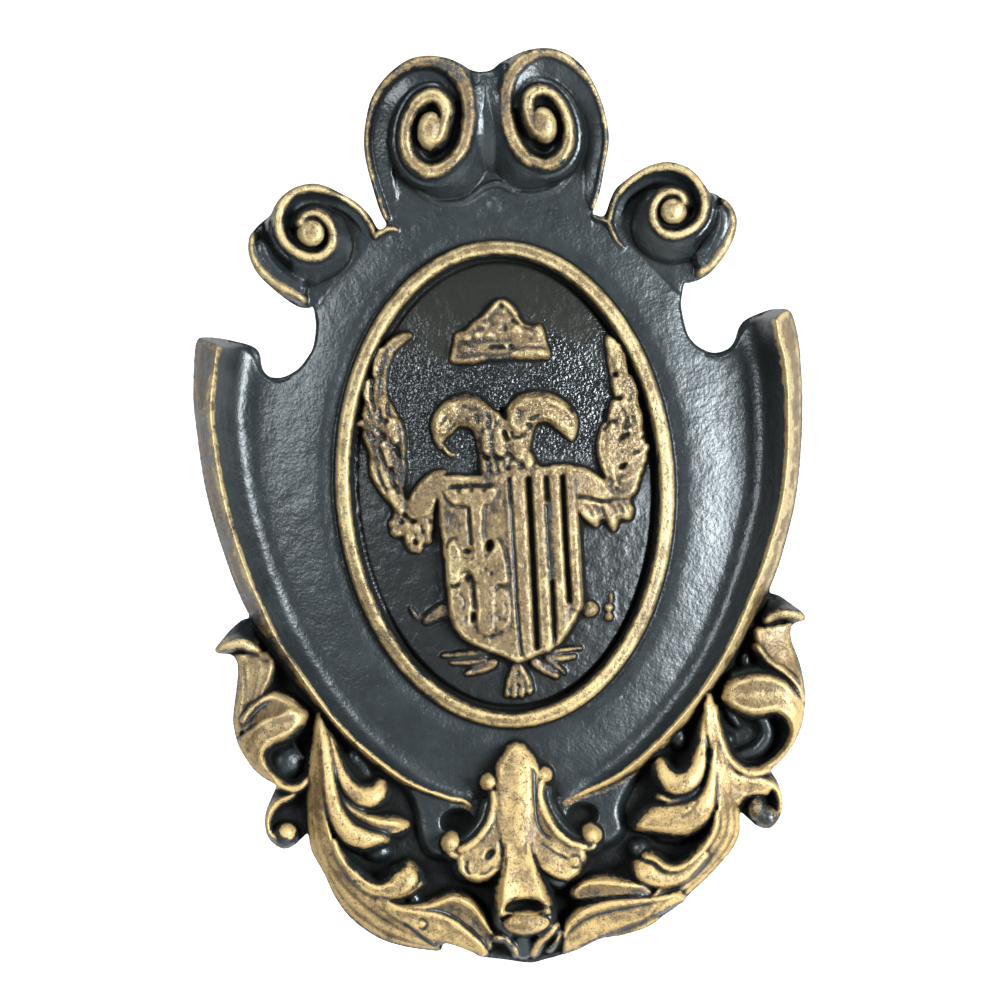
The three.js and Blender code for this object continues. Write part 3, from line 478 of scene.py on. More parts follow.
# Fuller parts of the two heads
for edge, level, golden in (
    ([(-25.8, 19), (-26.8, 24.6), (-25, 29.6), (-21, 33.4), (-15, 35.4), (-9.6, 34.6), (-5.6, 31),
      (-3, 27), (-4, 22), (-8.4, 21.6), (-11, 24), (-15, 26), (-19.4, 25.6), (-22.4, 22.4)], 5.6, 0.74),
    ([(-26, 23), (-25.8, 28.6), (-22.6, 32.8), (-18.8, 34), (-17.4, 31), (-19.4, 27), (-22.4, 22.6)],
     6.1, 1.1),
    ([(28, 19), (28.8, 24), (27, 28.6), (22.6, 32.4), (16, 34.6), (9.6, 34.6), (5.6, 31.6), (3.4, 27),
      (4, 22), (8.6, 20.6), (12, 24.4), (17, 26), (21, 24.2), (25, 20.6)], 6, 1.12),
):
    slab(edge, field_at(X, Z) + level, golden, 1.3)
# Gold wiped thin along the tops of the heads as painted shade, and in two brown patches on the right head
score([(-22, 35.6), (-18, 36.8), (-13, 37.4), (-8.6, 36.4), (-5, 33.6), (-2, 30.6)], 1.7, 0.4, 0.75)
score([(3, 33), (8, 36), (15, 37), (22, 35.4), (26.6, 32), (29.6, 27)], 1.6, 0.4, 0.75)
score([(5, 31), (6.6, 28.6), (6.4, 26)], 1.8, 0.2, 0.35)
score([(26.6, 28), (28.6, 25), (28.8, 22)], 1.3, 0.2, 0.4)
# Tip of the left beak
strip(on_field([(-23.8, 17.4, 0.4, 0.5), (-22.8, 15.4, 0.45, 0.55), (-21.4, 13.9, 0.4, 0.55),
                (-19.4, 13.3, 0.3, 0.45)]), BEAD, 1.2)
# Feathers of the neck
for x, top, foot, wide, golden in (
    (-6.6, 24, 12, 2.3, 0.95), (-1.4, 23.6, 11.2, 3.4, 1.05), (6.4, 22, 9.6, 4.2, 1.15),
    (-7.8, 12.6, 4.8, 1.4, 0.7), (-4.4, 12, 4.8, 1.4, 0.8), (-1.2, 11.4, 5, 1.6, 0.9),
    (9.6, 13, 5.6, 2.6, 1.1), (4, 9.4, 5.4, 3, 1),
):
    middle = (top + foot) / 2
    strip(on_field([(x - 0.3, top, wide * 0.8, 0.9), (x, middle, wide, 1.1),
                    (x + 0.2, foot + 1.6, wide * 0.8, 1.15),
                    (x + 0.4, foot, wide * 0.3, 0.95)]), ROUNDED, golden)
# Lines cut between the feathers and round the beaks
for stations, half, depth in (
    ([(-25, 25), (-22.6, 27.4), (-21.4, 29.4)], 0.6, 0.9),
    ([(-23.4, 22.8), (-21, 25.4), (-20, 28)], 0.6, 0.9),
    ([(-21.6, 22.4), (-19.4, 24.4), (-18.6, 26)], 0.5, 0.7),
    ([(-16, 33), (-12, 31), (-9, 31.4)], 0.6, 0.7),
    ([(-11, 29), (-9.6, 27), (-10, 25)], 0.6, 0.8),
    ([(-5.8, 30), (-4.6, 27), (-5.4, 24), (-5, 22)], 0.8, 1.4),
    ([(-8.6, 21), (-7.4, 23), (-6, 23.4)], 0.7, 1.2),
    ([(10.6, 25.6), (13, 26.4), (15.4, 27.6)], 0.7, 1.6),
    ([(9, 23.8), (11.2, 23.6), (11.4, 21.2)], 0.7, 1.6), ([(6, 31), (7.6, 28), (7, 25)], 0.7, 0.8),
    ([(24.6, 29), (27, 25.4), (28, 21.8)], 0.6, 1), ([(26.4, 30), (28.8, 27)], 0.6, 0.8),
    ([(18, 31.4), (21.6, 30), (24, 27)], 0.5, 0.6), ([(0.4, 31.4), (1, 28.6), (1.8, 26)], 1.5, 3),
    ([(0.6, 22.6), (1.2, 20), (2.6, 17.4)], 1, 1.8),
    ([(3.4, 21.6), (4.2, 19.4), (6.4, 19), (9, 20)], 0.6, 1.4),
    ([(-8.6, 14), (-7.6, 12), (-5.4, 11.4)], 0.8, 2), ([(-4, 13), (-2.4, 11.4), (0, 10.6)], 0.8, 1.8),
    ([(1, 12.6), (2.4, 12.4), (3.2, 10.8), (2, 10)], 0.5, 1), ([(-5.8, 9.4), (-5.2, 8.2)], 0.9, 2.4),
    ([(-0.8, 8.6), (-0.2, 7.6)], 0.9, 2.2), ([(0.4, 6.8), (4, 7.2), (8.4, 8)], 0.5, 1.3),
    ([(-6, 5.8), (-5, 5)], 0.9, 1.8), ([(-9.6, 20), (-9.4, 12), (-9, 6)], 0.5, 0.4),
):
    score(stations, half * 1.1, depth * 1.35)

# Outlines of the wings, then the section of a feather
left_wing = [
    (-33, 61.8), (-37, 62.2), (-41.4, 60.2), (-45.4, 58.2), (-48, 55.6), (-49.4, 50), (-50.4, 45.6),
    (-52.6, 45.2), (-54.2, 41), (-53.8, 37), (-55.4, 33), (-54.2, 29.4), (-57, 28.8), (-58.4, 26.8),
    (-54.8, 26), (-56, 22.8), (-53.6, 19), (-53.2, 13), (-53, 8), (-51.6, 3), (-47.6, -2), (-45.2, -6),
    (-44.6, -9), (-46.8, -12.4), (-46, -16), (-42.2, -18), (-40.4, -22), (-38, -24.6), (-34.8, -24.6),
    (-32, -21), (-29.6, -16), (-28.8, -10), (-27.6, -4), (-25, 4), (-22, 7), (-27, 7.8), (-32, 5),
    (-36, 0.4), (-38.8, -4.4), (-39.8, -2.4), (-41, 1), (-40.2, 6), (-39.2, 12), (-38.8, 18), (-38.6, 22),
    (-40.2, 28), (-42.4, 33), (-44.4, 37), (-45, 42), (-44, 48), (-42, 53), (-40, 56.4), (-36, 59.4),
]
right_wing = [
    (43, 57.8), (46.2, 56.4), (49.4, 51.4), (50.8, 46), (51.4, 41), (53.4, 36), (54.8, 30), (55.4, 24),
    (55.6, 19), (55.6, 15.6), (57.2, 12.8), (55, 10.4), (56.4, 7), (54.4, 4.4), (54.6, 1.4), (52.4, -0.4),
    (53, -4), (50.4, -5.4), (50.4, -7.4), (49, -8.6), (50.6, -12), (48.8, -16.4), (45.2, -15.4),
    (42.4, -20.6), (39.6, -17), (37.6, -14.6), (35.8, -18.4), (32.6, -16.6), (29.4, -13.4), (27.6, -10),
    (26.8, -2), (27, 6), (32, 5.6), (37, 2.2), (40, 0.4), (39.2, 5), (38.1, 10), (38, 14), (39, 18.6),
    (41, 22.6), (43.8, 28), (45.3, 32), (44.8, 36), (44.4, 40), (43.4, 46), (43, 52),
]
FEATHER = [(0, 0.1, 0.75), (0.2, 0.02, 1), (0.6, 0, 1.1), (0.85, 0.06, 1), (1, 0.22, 0.6)]


def feathers(rows, base):
    """Feathers cut one over another: (x, z) stations, half width, lift over the mass, gold."""
    for stations, wide, lift, golden in rows:
        last = len(stations) - 1
        strip([(x, z, wide * (0.75 + 0.25 * math.sin(math.pi * k / last)) * (1 - 0.5 * (k == last)),
                field_at(x, z) + base + lift) for k, (x, z) in enumerate(stations)], FEATHER, golden)


slab(left_wing, field_at(X, Z) + 3.2, 0.82, 0.9)
slab(right_wing, field_at(X, Z) + 3.8, 0.92, 0.9)
left_shoulder = [
    (-39, -7), (-37.6, -2), (-33.6, 3), (-28, 6.4), (-23.6, 5.6), (-25, 1), (-27, -4), (-30, -9),
    (-33.6, -13),
]
slab(left_shoulder, field_at(X, Z) + 5, 0.92, 1.2)
right_shoulder = [
    (28, 4.6), (33, 4), (37.6, 1), (41.4, -3.4), (42.6, -7.4), (37.6, -7.6), (33, -6.2), (28, -5.4),
]
slab(right_shoulder, field_at(X, Z) + 5.2, 1.12, 1)
right_tuft = [
    (28.2, -6.4), (33, -7.2), (37.6, -8.6), (43, -8.2), (46.6, -9), (48.8, -14), (46, -14.4),
    (43.6, -14), (42, -18.4), (39.4, -15), (37, -13), (34.8, -16.4), (31, -14), (28.4, -11),
]
slab(right_tuft, field_at(X, Z) + 5, 1.15, 0.9)
# Feathers of the left wing
feathers([
    ([(-34, 61.6), (-38, 61.4), (-42.4, 59), (-46, 55.6)], 0.8, 1, 0.7),
    ([(-46, 57), (-48.2, 52), (-49.6, 46.6)], 1.4, 1.4, 1.15),
    ([(-43, 57), (-45.2, 51), (-45.8, 46)], 1.2, 0.9, 0.5),
    ([(-47.6, 46), (-48.8, 40), (-49, 34)], 2, 0.8, 0.72),
    ([(-52, 44.6), (-53, 40), (-52.6, 36)], 1.3, 1.3, 1.2),
    ([(-46.4, 38), (-47.4, 33), (-46, 28.6)], 2.1, 1.1, 0.95),
    ([(-51.6, 36), (-51.6, 31), (-49.4, 26.4)], 1.3, 1, 0.85),
    ([(-57.4, 27.6), (-54.4, 27.6), (-51.6, 23.6), (-50, 20)], 0.9, 0.9, 0.95),
    ([(-54.6, 31.6), (-52.4, 27.4), (-50.8, 23.4)], 1, 0.9, 0.85),
    ([(-47.4, 27.6), (-47, 23), (-45.4, 19)], 1.4, 0.9, 0.7),
    ([(-43.6, 29), (-43.8, 24.6), (-42.2, 19.6)], 2.2, 1.9, 1.2),
    ([(-40.6, 28), (-39.8, 22), (-39.4, 16)], 0.8, 0.9, 0.6),
    ([(-54, 22), (-52.2, 18), (-51, 14)], 1.2, 0.8, 0.8),
    ([(-50.4, 20), (-48.8, 15), (-48.2, 10)], 1.7, 1.1, 0.8),
    ([(-47.4, 19.6), (-46.2, 14.6), (-45.2, 10)], 1.6, 1.7, 1.2),
    ([(-42.4, 17), (-42.8, 10), (-42.4, 3.4)], 1.7, 0.8, 0.62),
    ([(-40.2, 15), (-40, 8), (-40.6, 2)], 0.7, 0.8, 0.45),
    ([(-51.8, 12), (-51, 7.4), (-49.6, 3.4)], 1.6, 1.2, 1.05),
    ([(-48.6, 11), (-47.6, 6), (-46.6, 2)], 1.7, 1.6, 1.2),
    ([(-45.6, 8), (-44.6, 4), (-44, 0)], 1.2, 1.1, 0.9),
    ([(-49, 2), (-46.6, -1), (-45, -4)], 1.3, 1.3, 1),
    ([(-46, 1), (-43.6, -4), (-41.4, -8.6)], 1.6, 1.7, 1.2),
    ([(-42, -1), (-40.8, -4.6), (-40, -8)], 0.8, 0.8, 0.6),
], 3.2)
# Feathers of the right wing
feathers([
    ([(44.6, 56), (46.2, 50), (47.4, 44)], 2, 1.2, 1.15),
    ([(47.8, 54), (49.2, 49), (49.8, 44)], 1.2, 0.8, 0.95),
    ([(47.6, 42), (49.4, 37), (50, 32)], 2, 1, 1.05),
    ([(50.8, 41), (52.6, 36), (53.4, 31)], 1.4, 0.7, 0.8),
    ([(46, 41), (46.4, 37), (46.8, 33)], 1.5, 1.3, 1.05),
    ([(46, 31.6), (44.8, 27), (43.2, 23.4)], 1.8, 1.3, 1.1),
    ([(48.8, 32), (48.4, 27), (46.8, 22.6)], 1.8, 1.5, 1.1),
    ([(52, 31), (52, 25), (50.6, 20)], 1.8, 1, 1),
    ([(54, 28), (54.2, 23), (53.4, 18)], 1.1, 0.6, 0.9),
    ([(41.6, 22.4), (39.6, 16), (39.6, 9), (41, 1.6)], 1.7, 1, 1.05),
    ([(44, 22.6), (42.2, 15), (42.4, 8), (43.4, 0)], 1.7, 1.5, 1.15),
    ([(46.6, 22), (45, 15), (45, 8), (45.4, 2)], 1.5, 1.1, 1),
    ([(46.6, 15.6), (50.4, 18.4), (54.6, 22.6)], 1.5, 0.8, 0.95),
    ([(46.8, 12.4), (50.8, 14.8), (55.4, 18.4)], 1.5, 1.3, 1.1),
    ([(46.8, 9), (51, 11.4), (56, 15)], 1.5, 0.8, 1.1),
    ([(46.8, 5.6), (50.8, 7.8), (55, 11), (57, 13)], 1.5, 1.3, 1.05),
    ([(46.6, 2.4), (50.4, 4.2), (54.2, 7), (56.2, 9.4)], 1.4, 0.8, 1),
    ([(46, -0.8), (49.6, 0.6), (53, 3.2), (54.6, 5.4)], 1.4, 1.3, 1.05),
    ([(45.4, -3.8), (48.6, -2.6), (51.6, -0.6), (53, 1.4)], 1.3, 0.8, 1),
    ([(44.4, -6.8), (47.4, -6), (50, -4.4), (51.6, -2.6)], 1.2, 1.3, 0.95),
    ([(43.4, -1), (43.8, -4), (43.2, -7)], 1.1, 0.9, 1.05),
], 3.8)
# Cuts between the feathers
for stations, half, depth in (
    ([(44.2, 41.4), (45.8, 41.8), (47.2, 40.8)], 1.1, 2.4),
    ([(45, 31.6), (46.6, 32.6), (48.6, 32.2)], 0.9, 2),
    ([(39.6, 19.6), (41.6, 22), (43.2, 23.4), (45.2, 23)], 0.7, 1.8),
    ([(46.2, 15.6), (48, 17), (50.8, 18.4)], 0.8, 2),
    ([(45.4, 4.4), (47, 5.4), (49, 6.6)], 0.9, 2.4), ([(44, -2.6), (44.2, -4.4)], 0.8, 2),
    ([(51, 10.4), (54.4, 11)], 0.5, 1.4),
    ([(28, -5.6), (33, -6.2), (37.6, -8), (42.8, -8)], 0.6, 1.2),
    ([(43.4, -9), (45.4, -11), (45.8, -14)], 0.6, 1),
    ([(33.6, -9), (36, -11), (37.4, -14)], 0.7, 1), ([(37.6, -10), (38.8, -14), (40.6, -17.4)], 0.7, 1.2),
    ([(30, -9), (33, -11), (34, -14)], 0.5, 0.7), ([(40, -8), (42.6, -11), (43.4, -13.6)], 0.5, 0.7),
    ([(48.8, 54.6), (49.8, 50), (50.2, 45)], 0.4, 1), ([(48, 28.6), (49.8, 24), (49.2, 20)], 0.6, 1.2),
    ([(42, 29), (39.4, 22)], 0.4, 0.8), ([(51.6, 26), (52.6, 22)], 0.7, 1.4),
    ([(50, 20.6), (52, 22)], 0.6, 1.2),
    ([(-43, 18.4), (-42, 16), (-41, 13)], 1, 2), ([(-44, 3), (-42.4, 0.6), (-41, -0.4)], 0.6, 1),
    ([(-48.6, 24), (-46.4, 20.6)], 0.7, 1.6), ([(-48.6, 34), (-47.8, 29.4), (-45.4, 27.6)], 0.6, 1.4),
    ([(-50.8, 45), (-51.2, 38), (-50.4, 32)], 0.5, 1.4), ([(-53, 34), (-51.4, 29)], 0.5, 1.2),
    ([(-49.6, 18), (-47.6, 12), (-47, 8)], 0.5, 1.4), ([(-50.4, 9), (-48.8, 4), (-47, 0)], 0.5, 1.2),
    ([(-45, 10), (-44.8, 5), (-43.4, 1)], 0.6, 1.6), ([(-44.6, 36), (-45, 32), (-44, 30)], 0.7, 1.4),
    ([(-52, 24), (-50.4, 20)], 0.6, 1.2), ([(-46, 30), (-45, 27)], 0.6, 1.2),
    ([(-41.6, -9), (-36, -11.6), (-31, -10.6)], 0.7, 1.6),
):
    score(stations, half * 1.1, depth * 1.3)
# Tuft of small feathers under the left shoulder
for x, z, across, up, golden in (
    (-44.4, -12.6, 2, 1.6, 0.75), (-43.6, -16, 2.2, 1.6, 0.8), (-39.8, -14.4, 2.4, 2, 0.9),
    (-38.8, -18.4, 1.8, 2, 1.1), (-36, -15, 1.7, 2, 1), (-34.4, -19, 1.7, 2.6, 0.85),
    (-32, -14.6, 1.6, 2.8, 0.85), (-37.6, -22.6, 1.8, 1.5, 0.7), (-31.4, -19.4, 1.2, 1.6, 0.6),
    (-35.6, -22.8, 1.3, 1.6, 0.8), (-33.6, -12, 2, 1.6, 0.8), (-36, -8, 3.2, 3, 1.1),
):
    mound(x, z, across * 1.15, up * 1.2, field_at(x, z) + 3.2, 1.3, golden)
for x, z in ((-41.4, -18.6), (-36.6, -20.4), (-33, -22), (-37.4, -12.2), (-41.6, -12), (-33.4, -16.6),
             (-30, -12.6)):
    score([(x - 0.5, z + 1.1), (x + 0.3, z - 1.1)], 0.8, 1.8, 0.6)
# Left foot, and feathers below the shield
for stations, wide, lift, golden in (
    ([(-22.6, -49), (-27, -48.2), (-31, -50), (-34.8, -52.6)], 3, 3.6, 0.72),
    ([(-32, -49.6), (-37, -50.6), (-40.4, -46)], 1.1, 1.6, 0.5),
    ([(-9, -65.6), (-18, -65.8), (-28.6, -66.2)], 1.6, 2.2, 0.55),
    ([(-11, -68.6), (-18, -69.2), (-25.4, -69)], 1.1, 2.6, 0.8),
    ([(-7, -69.4), (-12, -71.4), (-19.4, -73.8)], 2.3, 3, 0.95),
    ([(11, -67.4), (18, -66.4), (27, -65.8)], 0.8, 2.6, 0.9),
    ([(13, -68.6), (18, -69.4), (24.4, -69)], 1.5, 2.2, 0.75),
    ([(12.6, -68.6), (16, -72), (20, -75.6)], 1, 2.6, 0.55),
    ([(7, -69.2), (11, -72.6), (17, -76.8)], 2.3, 3, 1),
):
    strip([(x, z, wide * (1 - 0.6 * (k / (len(stations) - 1)) ** 3), field_at(x, z) + lift)
           for k, (x, z) in enumerate(stations)], ROUNDED, golden)
score([(-11, -70.6), (-15, -72.2), (-18, -73.2)], 0.5, 0.9, 0.8)
score([(9.6, -70.8), (13, -73.4), (16, -75.8)], 0.5, 0.9, 0.8)
# Tail
for foot, wide, golden in (((-3.6, -83.4), 1.3, 0.8), ((-0.8, -84), 1.5, 0.9), ((2.4, -84), 1.6, 0.9),
                           ((5.6, -82.6), 1.5, 0.85)):
    middle = ((foot[0] + 1) / 2 + 0.2 * foot[0], -77)
    strip(on_field([(1, -70, 1.2, 0.7), (*middle, wide, 0.75), (*foot, wide * 0.8, 0.7)]),
          ROUNDED, golden)
for x, z in ((-2.6, -81.6), (1.2, -79.8), (5.6, -80.6), (1.4, -74.6)):
    score([(x, z + 1.3), (x + 0.1, z - 0.9)], 0.7, 1.8)
# Right foot, worn to round lumps
mound(31, -50.6, 3.6, 3.3, field_at(31, -50.6) + 0.6, 3.2, 0.95)
mound(38.6, -50.4, 2, 1.8, field_at(38.6, -50) + 0.4, 2.4, 0.8)
mound(38.4, -54, 1.8, 2, field_at(38.6, -50) + 0.4, 2, 0.7)
mound(39.8, -46.4, 1.2, 2.4, field_at(39.8, -46) + 0.2, 1.8, 0.6)

# Shield
# A pointed plate, cast over the eagle's breast and gilt all over. A tower over a gatehouse stands
# on one half and upright bars on the other, with the ground between them cut back.
shield_height = field_crown + 4.4
shield_plate = [
    (-26.6, 4.6), (-26.9, -4), (-26.6, -14), (-25.8, -22), (-25.3, -32), (-24.9, -42), (-24.7, -50),
    (-22.8, -55.4), (-19, -60.2), (-12, -64.2), (-4.4, -67.4), (0.6, -70), (5, -69.4), (10, -67.4),
    (16, -65.2), (20, -61.6), (23.6, -57), (26.2, -52.6), (27.8, -48.6), (28.4, -44), (28.3, -30),
    (27.9, -15), (27.9, 5.8), (12, 6.2), (-2, 5.4), (-12, 4.8),
]
slab(shield_plate, shield_height, 0.98)
charge = shield_height + 1.3
# Tower, gatehouse and the ground at both sides of it
for edge, lift, golden, roll in (
    ([(-23.8, -0.8), (-23.4, -3.4), (-21.4, -5.8), (-15, -6.9), (-14.4, -10), (-14, -22), (-13.6, -30),
      (-12, -33), (-9.6, -30), (-9.9, -22), (-9.3, -10), (-9, -7), (-5.2, -5.9), (-3.3, -3.6),
      (-2.9, -0.8), (-8, -0.4), (-18, -0.4)], 1.3, 1.05, 0.6),
    ([(-21.6, -20.4), (-23.9, -23), (-24, -30), (-23.8, -37.6), (-20.4, -37.4), (-19.4, -33),
      (-16.6, -32.4), (-14.4, -34.4), (-13.8, -40), (-13.4, -47), (-13.6, -56), (-10.4, -58.6),
      (-7.6, -57), (-6.6, -48), (-6.2, -40), (-4.6, -38.6), (-1, -39), (-0.6, -35), (-1.2, -29),
      (-2.6, -23), (-5, -20.8), (-6, -24), (-8.6, -28), (-13, -28.6), (-18, -28.4), (-19.2, -24)],
     1.6, 1.08, 0.7),
    ([(-24, -40), (-20.4, -39), (-16.6, -38), (-15.4, -46), (-17, -54), (-21, -55.4), (-23.6, -50)],
     1, 0.95, 0.9),
    ([(-5, -41), (-1.6, -41.4), (-0.6, -48), (-1.6, -55), (-6, -57), (-6.8, -50)], 1.1, 1, 0.8),
):
    slab(edge, shield_height + lift, golden, roll)
# Notches along the top of the tower
for x in (-18.4, -13.4, -8.4):
    score([(x, 0.4), (x, -2.4)], 1, 1.9, 0.6)
# Upright bars, with a thin bead beside two of them
for x, half, top, foot, golden in (
    (5.2, 3.2, 5.4, -68, 1.05), (13.2, 2.5, 5.4, -66, 1.1), (19.9, 2.2, 5.4, -60, 1.05),
    (25.8, 2, 5, -51, 0.86),
):
    strip([(x, top, half, charge - 0.3), (x, -28, half, charge),
           (x + 0.2, foot, half * 0.9, charge - 0.6)],
          [(0, 0.16, 0.75), (0.12, 0.05, 0.85), (0.35, 0.01, 1), (0.75, 0, 1.05), (0.9, 0.03, 0.95),
           (1, 0.16, 0.5)],
          golden)
strip([(0.7, 2, 0.6, charge - 0.3), (0.8, -28, 0.6, charge - 0.3), (1.2, -57, 0.6, charge - 0.5)],
      BEAD, 0.95)
strip([(16.8, -8, 0.6, charge - 0.5), (17.1, -24, 0.6, charge - 0.5), (17, -38, 0.5, charge - 0.8)],
      BEAD, 0.8)
# Ground cut back around them, and dark openings
for stations, half, depth in (
    ([(-22.6, 0.5), (-14, 0.7), (-5, 0.2)], 0.9, 1.9),
    ([(-3.6, -0.4), (-2.6, -3), (-4.2, -5.6)], 0.6, 0.9),
    ([(-24.4, -1), (-23.6, -4.4), (-21, -6.8), (-15.4, -7.8)], 0.6, 0.8),
    ([(-15, -8), (-14.9, -16), (-14.6, -23)], 0.7, 1.4),
    ([(-8.8, -8.4), (-9.2, -14), (-9.5, -20)], 0.5, 0.6),
    ([(-24.6, -24), (-24, -21), (-21.4, -19.6), (-19.6, -20.6)], 0.6, 1.2),
    ([(-16.6, -23.6), (-16.4, -25.4), (-16.2, -26.6)], 2.1, 3.6),
    ([(-7, -20.6), (-7.4, -23.6), (-8, -26)], 1.8, 4),
    ([(-5, -20.2), (-3.4, -21.2), (-1.8, -25), (-0.6, -31), (0, -37)], 0.5, 1),
    ([(0, -38), (-2.4, -39.6), (-5.4, -38.6)], 0.6, 1),
    ([(-17.4, -33.8), (-16.6, -35.4), (-16.6, -38)], 2.2, 2.4),
    ([(-15, -36), (-14.7, -42), (-14.8, -48)], 0.6, 1.4),
    ([(-15.8, -49), (-15.2, -51), (-15.8, -53.6)], 1.4, 2.6),
    ([(-24.4, -38.4), (-22, -38.6), (-20, -37.8)], 0.7, 1.8),
    ([(-12.4, -29.8), (-11.6, -30.8)], 0.8, 2.2),
    ([(-10, -32), (-9, -33.2)], 0.9, 2.4), ([(-7.6, -33.6), (-7, -35.4)], 1.1, 2.6),
    ([(-11.8, -33.4), (-11.2, -35)], 0.7, 1),
    ([(-9.8, -59.6), (-6.6, -58.8), (-3.6, -57.6)], 0.6, 1.4), ([(-3.4, -52), (-2.6, -54)], 0.7, 1.3),
    ([(-5.4, -51), (-4.6, -53.6)], 0.6, 1.2), ([(-3, -46), (-1.8, -48.6), (-2.2, -51)], 0.6, 1),
    ([(-17.6, -50), (-18.6, -54)], 0.7, 1.2), ([(-21, -41), (-18.6, -44), (-19, -49)], 0.7, 0.8),
    ([(9.4, 3.6), (9.5, -28), (9.4, -66)], 1.15, 3.6), ([(16.4, 3.4), (16.4, -2), (16.6, -7)], 0.9, 2.4),
    ([(15.8, -8), (15.9, -24), (16, -38)], 0.4, 1.2), ([(16.6, -38), (16.6, -52), (16.5, -65)], 0.8, 2.8),
    ([(23, 3.6), (22.9, -24), (23.2, -48)], 1.1, 3.4), ([(1.7, 3.4), (1.8, -2), (2, -8)], 0.8, 1.8),
    ([(2.2, -8), (2.4, -28), (2.2, -46)], 0.8, 0.9), ([(2.3, -46), (2.6, -58), (3, -68)], 0.6, 1.7),
):
    score(stations, half, depth)

# Crest
# Two large volutes side by side. A gilt lip climbs each outer edge, turns over the top and coils
# down to a raised eye, with a smooth hollow between its turns.
BAND = [(0, 0.25, 0.5), (0.1, 0.05, 0.85), (0.3, 0.01, 1), (0.7, 0, 1), (0.9, 0.05, 0.85), (1, 0.25, 0.5)]
PLAIN = [(0, 0, 0), (1, 0, 0)]
crest_ground = 15.0
crest_edge = fill(np.vstack([
    through(left_outline[:15][::-1], 8)[:, :2], through(right_outline[:14], 8)[:, :2],
    [(40, 96), (-40, 96)],
]))
relief[crest_edge] = np.maximum(relief, crest_ground - 0.5)[crest_edge]
# Lips from the foot of each outer edge in to the eye: (x, z, half width, height)
left_coil = [
    (-41.7, 108, 0.6, 18.4), (-43.6, 115, 0.6, 18.8), (-45.9, 123, 0.65, 19.4), (-47.6, 132, 0.7, 20),
    (-48, 140, 0.8, 20.6), (-46.7, 148, 0.9, 21.6), (-43.8, 155.5, 1.1, 23.1), (-39.4, 161.8, 1.4, 24.6),
    (-33.6, 166.6, 1.8, 26.1), (-27, 169.4, 2.1, 26.9), (-20, 169.6, 2.3, 27.3), (-13.5, 167, 2.8, 27.6),
    (-9.2, 162.5, 3, 27.6), (-7, 156.5, 2.4, 28), (-6.5, 149.5, 2.2, 28.5), (-7.3, 142, 2.1, 29),
    (-9.6, 135, 2, 29.4), (-13.6, 129.7, 2, 29.8), (-19, 126.4, 2, 30), (-24.6, 126, 2.1, 30.4),
    (-29.3, 129.2, 2, 30.8), (-32, 134.7, 1.9, 31.2), (-32.2, 141.3, 1.8, 31.6), (-30.2, 148, 1.8, 32),
    (-26.3, 153.4, 1.9, 32.4), (-21, 155.7, 2, 32.9), (-16.8, 153.4, 1.9, 33.3),
    (-15.6, 148.6, 1.6, 33.6), (-17, 143.5, 1.3, 33.8), (-18.4, 139.4, 1.2, 34), (-20.6, 137, 0.9, 34),
]
right_coil = [
    (40.8, 108, 0.8, 18.4), (43.2, 115, 0.9, 18.8), (45.3, 124, 0.8, 19.4), (47.3, 133, 0.8, 20),
    (47.4, 141, 0.9, 20.6), (46, 149.5, 1.2, 21.8), (42.8, 157.3, 1.4, 23.4), (37.8, 163.6, 1.5, 24.8),
    (31.3, 168.5, 1.6, 26.4), (24.3, 170.6, 1.8, 26.9), (17.5, 168.7, 2.2, 27.3),
    (12.5, 164.3, 2.3, 27.6), (9.3, 158.3, 2.3, 27.6), (8.1, 151, 2.2, 28.2), (8.5, 143.8, 2.2, 28.8),
    (10.1, 137.3, 2.1, 29.2), (13.1, 131.5, 2, 29.6), (17.6, 127.6, 1.9, 30), (23, 126.2, 1.9, 30.4),
    (28, 128, 1.9, 30.8), (31.5, 132.7, 1.8, 31.2), (32.7, 139.2, 1.5, 31.6), (31.4, 146.5, 1.1, 32),
    (28.2, 152.3, 1.1, 32.4), (24, 155.3, 1.3, 32.9), (19.6, 154.9, 1.6, 33.2), (16.9, 151.5, 1.7, 33.6),
    (17, 147, 1.6, 33.8), (18, 142.6, 1.4, 34), (19.8, 138.4, 1.1, 34),
]
